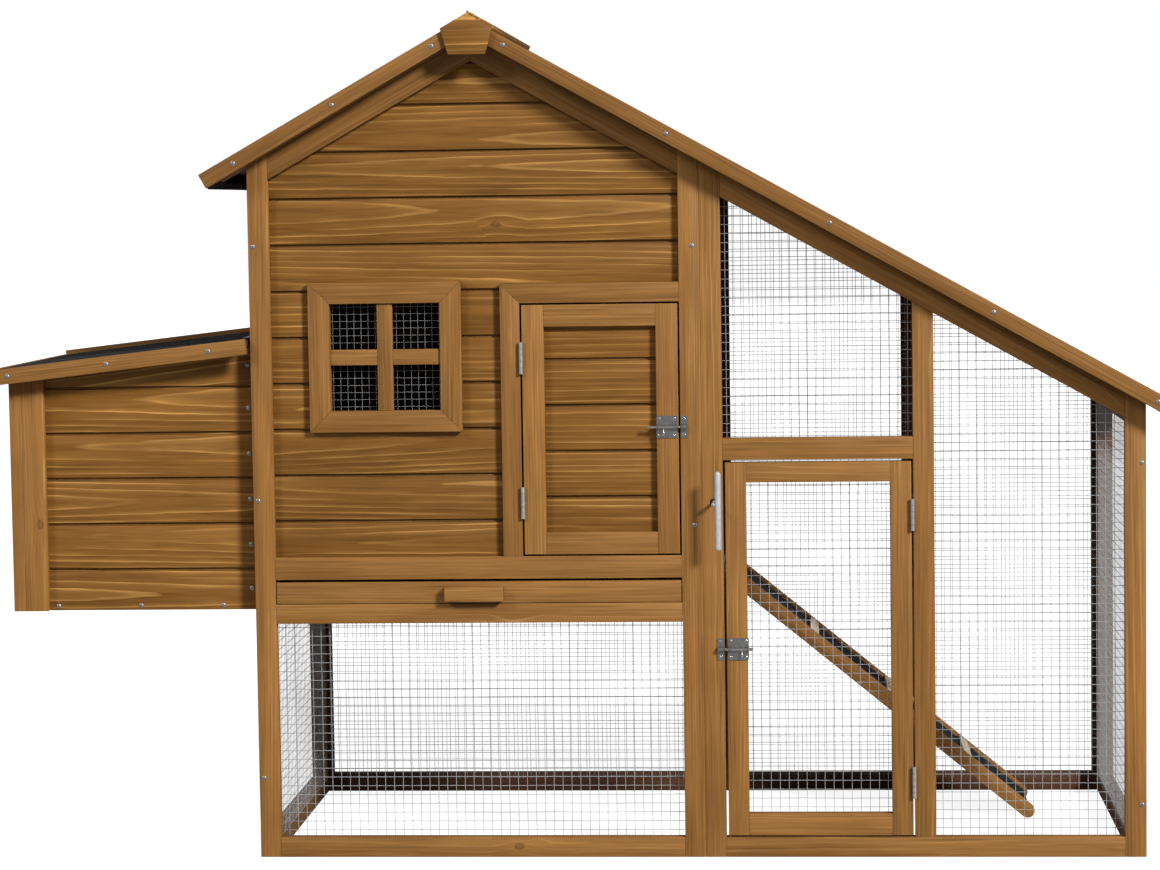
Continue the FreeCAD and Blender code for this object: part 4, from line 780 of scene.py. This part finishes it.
@dataclass
class BarrelBolt:
    """A light barrel bolt: pressed plate, two straps, keep, bar and its hanging knob."""

    plate_node: str
    bar_node: str
    keep_side: float
    plate_t: float = 1.2 * MM
    bar_r: float = 2.5 * MM
    stand_off: float = 4.0 * MM
    strap_t: float = 1.3 * MM
    strap_w: float = 4.7 * MM
    corner_r: float = 2.5 * MM
    arc_steps: int = 10
    knob_r: float = 3.0 * MM

    def add_plate(self, mesh: bmesh.types.BMesh, low: Vector, high: Vector) -> None:
        """Add a plate with round corners between two corners."""
        made = add_block(mesh, low, high)
        edges = {edge for vertex in made for edge in vertex.link_edges
                 if abs((edge.verts[1].co - edge.verts[0].co).normalized().y) > 0.9}
        bmesh.ops.bevel(mesh, geom=list(edges), offset=self.corner_r, offset_type="OFFSET", affect="EDGES",
                        segments=5, profile=0.5, material=-1, clamp_overlap=True)

    def add_strap(self, mesh: bmesh.types.BMesh, x_low: float, x_high: float, seat_y: float, axis: Vector) -> None:
        """Add a strap that is bent over the bar.

        Args:
            mesh: the plate's mesh.
            x_low: the strap's left edge.
            x_high: its right edge.
            seat_y: the plate's front face.
            axis: a point on the bar's centre line.
        """
        inner = self.bar_r + 0.55 * MM
        outer = inner + self.strap_t
        corners = [(x_low, inner), (x_high, inner), (x_high, outer), (x_low, outer)]
        start = [mesh.verts.new((x, seat_y + 0.1 * MM, axis.z + rise)) for x, rise in corners]
        section = mesh.faces.new(start)
        leg = bmesh.ops.extrude_face_region(mesh, geom=[section])["geom"]
        tip = [part for part in leg if isinstance(part, bmesh.types.BMVert)]
        cap = [part for part in leg if isinstance(part, bmesh.types.BMFace)]
        bmesh.ops.translate(mesh, verts=tip, vec=(0, axis.y - seat_y - 0.1 * MM, 0))
        bend = bmesh.ops.spin(mesh, geom=cap + tip + [edge for face in cap for edge in face.edges],
                              cent=(0, axis.y, axis.z), axis=(1, 0, 0), angle=math.pi, steps=self.arc_steps)
        end = [part for part in bend["geom_last"] if isinstance(part, bmesh.types.BMFace)]
        foot = bmesh.ops.extrude_face_region(mesh, geom=end)["geom"]
        bmesh.ops.translate(mesh, verts=[part for part in foot if isinstance(part, bmesh.types.BMVert)],
                            vec=(0, seat_y + 0.1 * MM - axis.y, 0))
        inside = [face for face in cap + end if face.is_valid]
        bmesh.ops.delete(mesh, geom=inside, context="FACES")

    def add_screws(self, mesh: bmesh.types.BMesh, spots: Iterable[tuple[float, float]], seat_y: float) -> None:
        """Add small cross-head screws at spots in X and Z."""
        screw = CrossScrew(radius=2.7 * MM, height=0.85 * MM, slot_width=0.75 * MM, slot_length=3.0 * MM,
                           slot_depth=0.5 * MM, steps=16, name="small_screw_pattern")
        turn = Matrix.Rotation(math.radians(90.0), 4, "X")
        plain = set(mesh.faces)
        for index, (x, z) in enumerate(spots):
            spin = Matrix.Rotation(0.4 + 1.1 * index, 4, "Z")
            add_copy(mesh, screw.pattern(), Matrix.Translation((x, seat_y, z)) @ turn @ spin)
        for face in mesh.faces:
            if face not in plain:
                face.material_index = 1

    def build(self) -> list[bpy.types.Object]:
        """Make the plate and the bar; the keeps are made together by their own class."""
        low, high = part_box(self.plate_node)
        bar_low, bar_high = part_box(self.bar_node)
        face_y = high.y - self.plate_t
        radius = self.bar_r
        axis = Vector((0.0, face_y - self.stand_off, (low.z + high.z) / 2))
        plate = bmesh.new()
        self.add_plate(plate, Vector((low.x, face_y, low.z)), high)
        self.add_strap(plate, low.x + 0.3 * MM, low.x + self.strap_w, face_y, axis)
        self.add_strap(plate, high.x - self.strap_w, high.x - 0.3 * MM, face_y, axis)
        inset = 5.0 * MM
        spots = [(x, z) for x in (low.x + inset, high.x - inset) for z in (low.z + inset, high.z - inset)]
        self.add_screws(plate, spots, face_y)
        ease_edges(plate, 0.2 * MM, 1, 50.0)
        bmesh.ops.recalc_face_normals(plate, faces=plate.faces)
        made = [piece_from(plate, "barrel_" + self.plate_node, body_of_node(self.plate_node), Finish.ZINC,
                           [self.plate_node], 40.0, Finish.BRIGHT)]
        bar = bmesh.new()
        add_bar(bar, Vector((bar_low.x, axis.y, axis.z)), Vector((bar_high.x, axis.y, axis.z)), radius)
        ease_edges(bar, 0.8 * MM, 3, 50.0)
        knob_x = low.x + 12.0 * MM if self.keep_side > 0 else high.x - 12.0 * MM
        self.add_knob(bar, Vector((knob_x, axis.y, axis.z)), bar_low.z)
        made.append(piece_from(bar, "sliding_" + self.bar_node, body_of_node(self.bar_node), Finish.BRIGHT,
                               [self.bar_node], 40.0))
        return made

    def add_knob(self, mesh: bmesh.types.BMesh, top: Vector, foot: float) -> None:
        """Add the turned knob that hangs from the bar."""
        drop = top.z - foot
        outline = ((0.0, 0.0), (1.9 * MM, 0.0), (1.9 * MM, 0.42 * drop), (self.knob_r, 0.55 * drop),
                   (self.knob_r, 0.86 * drop), (0.7 * self.knob_r, 0.97 * drop), (0.0, drop))
        chain = [mesh.verts.new((top.x + r, top.y, top.z - z)) for r, z in outline]
        edges = [mesh.edges.new(pair) for pair in zip(chain, chain[1:])]
        bmesh.ops.spin(mesh, geom=chain + edges, cent=top, axis=(0, 0, 1), angle=2 * math.pi, steps=20, use_merge=True)
        merged = [vertex for vertex in mesh.verts if vertex.is_valid]
        bmesh.ops.remove_doubles(mesh, verts=merged, dist=0.01 * MM)
        bmesh.ops.recalc_face_normals(mesh, faces=mesh.faces)


@dataclass
class BoltKeeps:
    """The two keeps that the bolts slide into."""

    node: str = "bolt_keeps"
    plates: tuple[str, str] = ("house_bolt_plate", "run_bolt_plate")
    width: float = 12.0 * MM

    def build(self) -> bpy.types.Object:
        """Make a strapped plate on each post."""
        mesh = bmesh.new()
        helper = BarrelBolt("", "", 1.0)
        keeps = cad_mesh(self.node)
        spans = sorted((min(v.co.x for v in g), max(v.co.x for v in g)) for g in solid_groups(keeps))
        keeps.free()
        lows, highs = [span[0] for span in spans], [span[1] for span in spans]
        ends = {"house_bolt_plate": (min(lows), lows[0] + self.width), "run_bolt_plate": (max(highs) - self.width, 0.0)}
        for plate in self.plates:
            low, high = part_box(plate)
            x0 = ends[plate][0]
            face_y = high.y - helper.plate_t
            axis = Vector((0.0, face_y - helper.stand_off, (low.z + high.z) / 2))
            helper.add_plate(mesh, Vector((x0, face_y, low.z)), Vector((x0 + self.width, high.y, high.z)))
            helper.add_strap(mesh, x0 + 1.5 * MM, x0 + self.width - 1.5 * MM, face_y, axis)
            middle = x0 + self.width / 2
            helper.add_screws(mesh, [(middle, low.z + 5.5 * MM), (middle, high.z - 5.5 * MM)], face_y)
        ease_edges(mesh, 0.2 * MM, 1, 50.0)
        bmesh.ops.recalc_face_normals(mesh, faces=mesh.faces)
        return piece_from(mesh, "barrel_" + self.node, "coop", Finish.ZINC, [self.node], 40.0, Finish.BRIGHT)


# ------------------------------------------------------------------ the studio
@dataclass
class Studio:
    """A white table, a strong and a weak soft sun and the camera that faces the coop's front."""

    camera_place: tuple[float, float, float] = (0.38599, -5.7727, 1.1337)
    camera_turn: float = 4.023
    camera_tilt: float = -4.144
    camera_roll: float = -0.832
    lens: float = 98.4
    sky: float = 0.25
    suns: tuple[tuple[float, float, float, float], ...] = ((45.0, 29.0, 4.4, 11.0), (-46.0, 33.0, 1.1, 14.0))
    table_half: float = 30.0

    def build(self) -> None:
        """Set up the table, the lights and the camera."""
        self.lay_table()
        self.light_sky()
        for index, sun in enumerate(self.suns):
            self.hang_sun(f"sun_{index}", *sun)
        self.set_camera()
        bpy.context.scene.view_settings.view_transform = "Standard"

    def lay_table(self) -> None:
        """A wide white table under the coop."""
        mesh = bmesh.new()
        bmesh.ops.create_grid(mesh, x_segments=1, y_segments=1, size=self.table_half)
        bmesh.ops.translate(mesh, verts=mesh.verts, vec=(0, 0, -0.3 * MM))
        data = bpy.data.meshes.new("studio_table")
        mesh.to_mesh(data)
        mesh.free()
        data.materials.append(StudioFloor().material())
        table = bpy.data.objects.new("studio_table", data)
        bpy.context.scene.collection.objects.link(table)

    def light_sky(self) -> None:
        """Even light from all round, behind which the studio wall is plain white."""
        world = bpy.data.worlds.new("studio_sky")
        bpy.context.scene.world = world
        world.use_nodes = True
        tree = world.node_tree
        light = tree.nodes["Background"]
        light.inputs["Strength"].default_value = self.sky
        wall = tree.nodes.new("ShaderNodeBackground")
        wall.inputs["Color"].default_value = (1, 1, 1, 1)
        light.inputs["Color"].default_value = (1, 1, 1, 1)
        path = tree.nodes.new("ShaderNodeLightPath")
        choice = tree.nodes.new("ShaderNodeMixShader")
        tree.links.new(path.outputs["Is Camera Ray"], choice.inputs["Fac"])
        tree.links.new(light.outputs[0], choice.inputs[1])
        tree.links.new(wall.outputs[0], choice.inputs[2])
        tree.links.new(choice.outputs[0], tree.nodes["World Output"].inputs["Surface"])

    def hang_sun(self, name: str, side: float, height: float, power: float, size: float) -> None:
        """Hang a soft sun in front of the coop.

        Args:
            name: the lamp's name.
            side: degrees to the right of straight ahead.
            height: degrees above level.
            power: its strength.
            size: its width in degrees, which softens its shadows.
        """
        lamp = bpy.data.lights.new(name, "SUN")
        lamp.energy = power
        lamp.angle = math.radians(size)
        sun = bpy.data.objects.new(name, lamp)
        bpy.context.scene.collection.objects.link(sun)
        sun.rotation_euler = (math.radians(90.0 - height), 0.0, math.radians(side))

    def set_camera(self) -> None:
        """The camera, level but for a small tilt and roll."""
        data = bpy.data.cameras.new("studio_camera")
        data.lens = self.lens
        data.sensor_width = 36.0
        camera = bpy.data.objects.new("studio_camera", data)
        bpy.context.scene.collection.objects.link(camera)
        turn = Matrix.Rotation(math.radians(self.camera_turn), 4, "Z")
        tilt = Matrix.Rotation(math.radians(90.0 + self.camera_tilt), 4, "X")
        roll = Matrix.Rotation(math.radians(self.camera_roll), 4, "Z")
        camera.matrix_world = Matrix.Translation(self.camera_place) @ turn @ tilt @ roll
        bpy.context.scene.camera = camera


# ------------------------------------------------------------------ the coop
@dataclass
class Coop:
    """Every visible piece of the coop, in the order it would be put together."""

    frames: tuple[str, ...] = ("front_posts", "front_rails", "window_frame", "door_surround", "partition_frame",
                               "roof_battens", "bargeboards", "nest_frame", "nest_lid_trim", "house_door_frame",
                               "run_door_frame", "tray_front", "tray_handle", "tray_runners", "perch_cradles",
                               "pop_door_tracks", "ramp_boards", "left_side_frame", "right_side_frame")
    inner_frames: tuple[str, ...] = ("back_posts", "back_rails")
    boards: tuple[str, ...] = ("front_boards", "back_boards", "left_side_boards", "partition_boards",
                               "roof_boards", "nest_boards", "nest_floor", "nest_divider", "nest_lid_boards",
                               "pop_door_panel")
    level_boards: tuple[str, ...] = ("front_boards", "back_boards")
    rift_boards: tuple[str, ...] = ("house_door_boards",)
    # per-node tones; the side frames' -1.6 is painted shade
    tones_and_painted_shade: dict[str, float] = field(default_factory=lambda: {
        "front_posts": -0.15, "front_rails": -0.4, "window_frame": -0.7, "door_surround": -0.6,
        "bargeboards": -0.9, "house_door_frame": 0.15, "front_boards": -0.4, "left_side_frame": -1.6,
        "right_side_frame": -1.6})
    raw: tuple[str, ...] = ("perches", "ramp_cleats")
    wire: tuple[str, ...] = ("front_mesh", "back_mesh", "left_side_mesh", "right_side_mesh", "run_door_mesh")
    felt: tuple[str, ...] = ("roof_felt", "nest_lid_felt")
    leaves: tuple[str, ...] = ("fixed_hinge_leaves", "nest_lid_hinge_leaves", "house_door_hinge_leaves",
                               "run_door_hinge_leaves")
    zinc: tuple[str, ...] = ("tray_pan", "ramp_straps", "ramp_hinge_pin")
    screws: tuple[str, ...] = ("screws", "nest_lid_screws")

    def build(self) -> None:
        """Build the coop's pieces."""
        for node in self.frames:
            Joinery(node, Finish.FRAME, tone=self.tones_and_painted_shade.get(node, -0.2)).build()
        for node in self.inner_frames:
            # the back posts and rails get the frame fir's darker copy, painted shade
            Joinery(node, Finish.INNER).build()
        for node in self.boards:
            Joinery(node, Finish.BOARD, arris=0.8 * MM, pith_aside=(0.0, 34.0 * MM), taper=0.026,
                    grain_axis=Axis.X if node in self.level_boards else None, tone=self.tones_and_painted_shade.get(node, 0.0),
                    painted_groove_shade=0.7).build()
        for node in self.rift_boards:
            Joinery(node, Finish.BOARD, arris=0.8 * MM, pith_aside=(30.0 * MM, 60.0 * MM), tone=-0.4,
                    painted_groove_shade=0.7).build()
        Joinery("ridge_caps", Finish.BOARD, grain_axis=Axis.X, pith_aside=(20.0 * MM, 40.0 * MM)).build()
        # painted highlight: a raised tone and no end-grain darkening make the ridge cover paler
        Joinery("ridge_cover", Finish.BOARD, tone=0.8, end_dark=0.0).build()
        for node in self.raw:
            Joinery(node, Finish.PERCH, arris=1.5 * MM).build()
        for node in self.wire:
            WeldedWire(node).build()
        WeldedWire("window_mesh", pitch=12.4 * MM, radius=0.26 * MM, wander=0.25 * MM).build()
        for node in self.leaves:
            Metalwork(node, Finish.LEAF).build()
        for node in self.zinc:
            Metalwork(node, Finish.ZINC).build()
        Metalwork("pop_door_pull", Finish.GRIP).build()
        for node in self.screws:
            ScrewSet(node).build()
        BarrelBolt("house_bolt_plate", "house_bolt", 1.0).build()
        BarrelBolt("run_bolt_plate", "run_bolt", -1.0).build()
        BoltKeeps().build()
        for node in self.felt:
            self.dress(node, Finish.FELT)
        self.dress("ramp_felt", Finish.RAMP_FELT)

    def dress(self, node: str, finish: Finish) -> None:
        """Give a CAD node that keeps its shape its finish."""
        materials = frame["nodes"][node].data.materials
        materials.clear()
        materials.append(finish.surface)
        LOG.info("%s dressed as %s", node, finish.name)


def main() -> None:
    """Build the coop and its studio."""
    logging.basicConfig(level=logging.INFO, format="%(name)s: %(message)s")
    Coop().build()
    Studio().build()


if __name__ == "__main__":
    main()
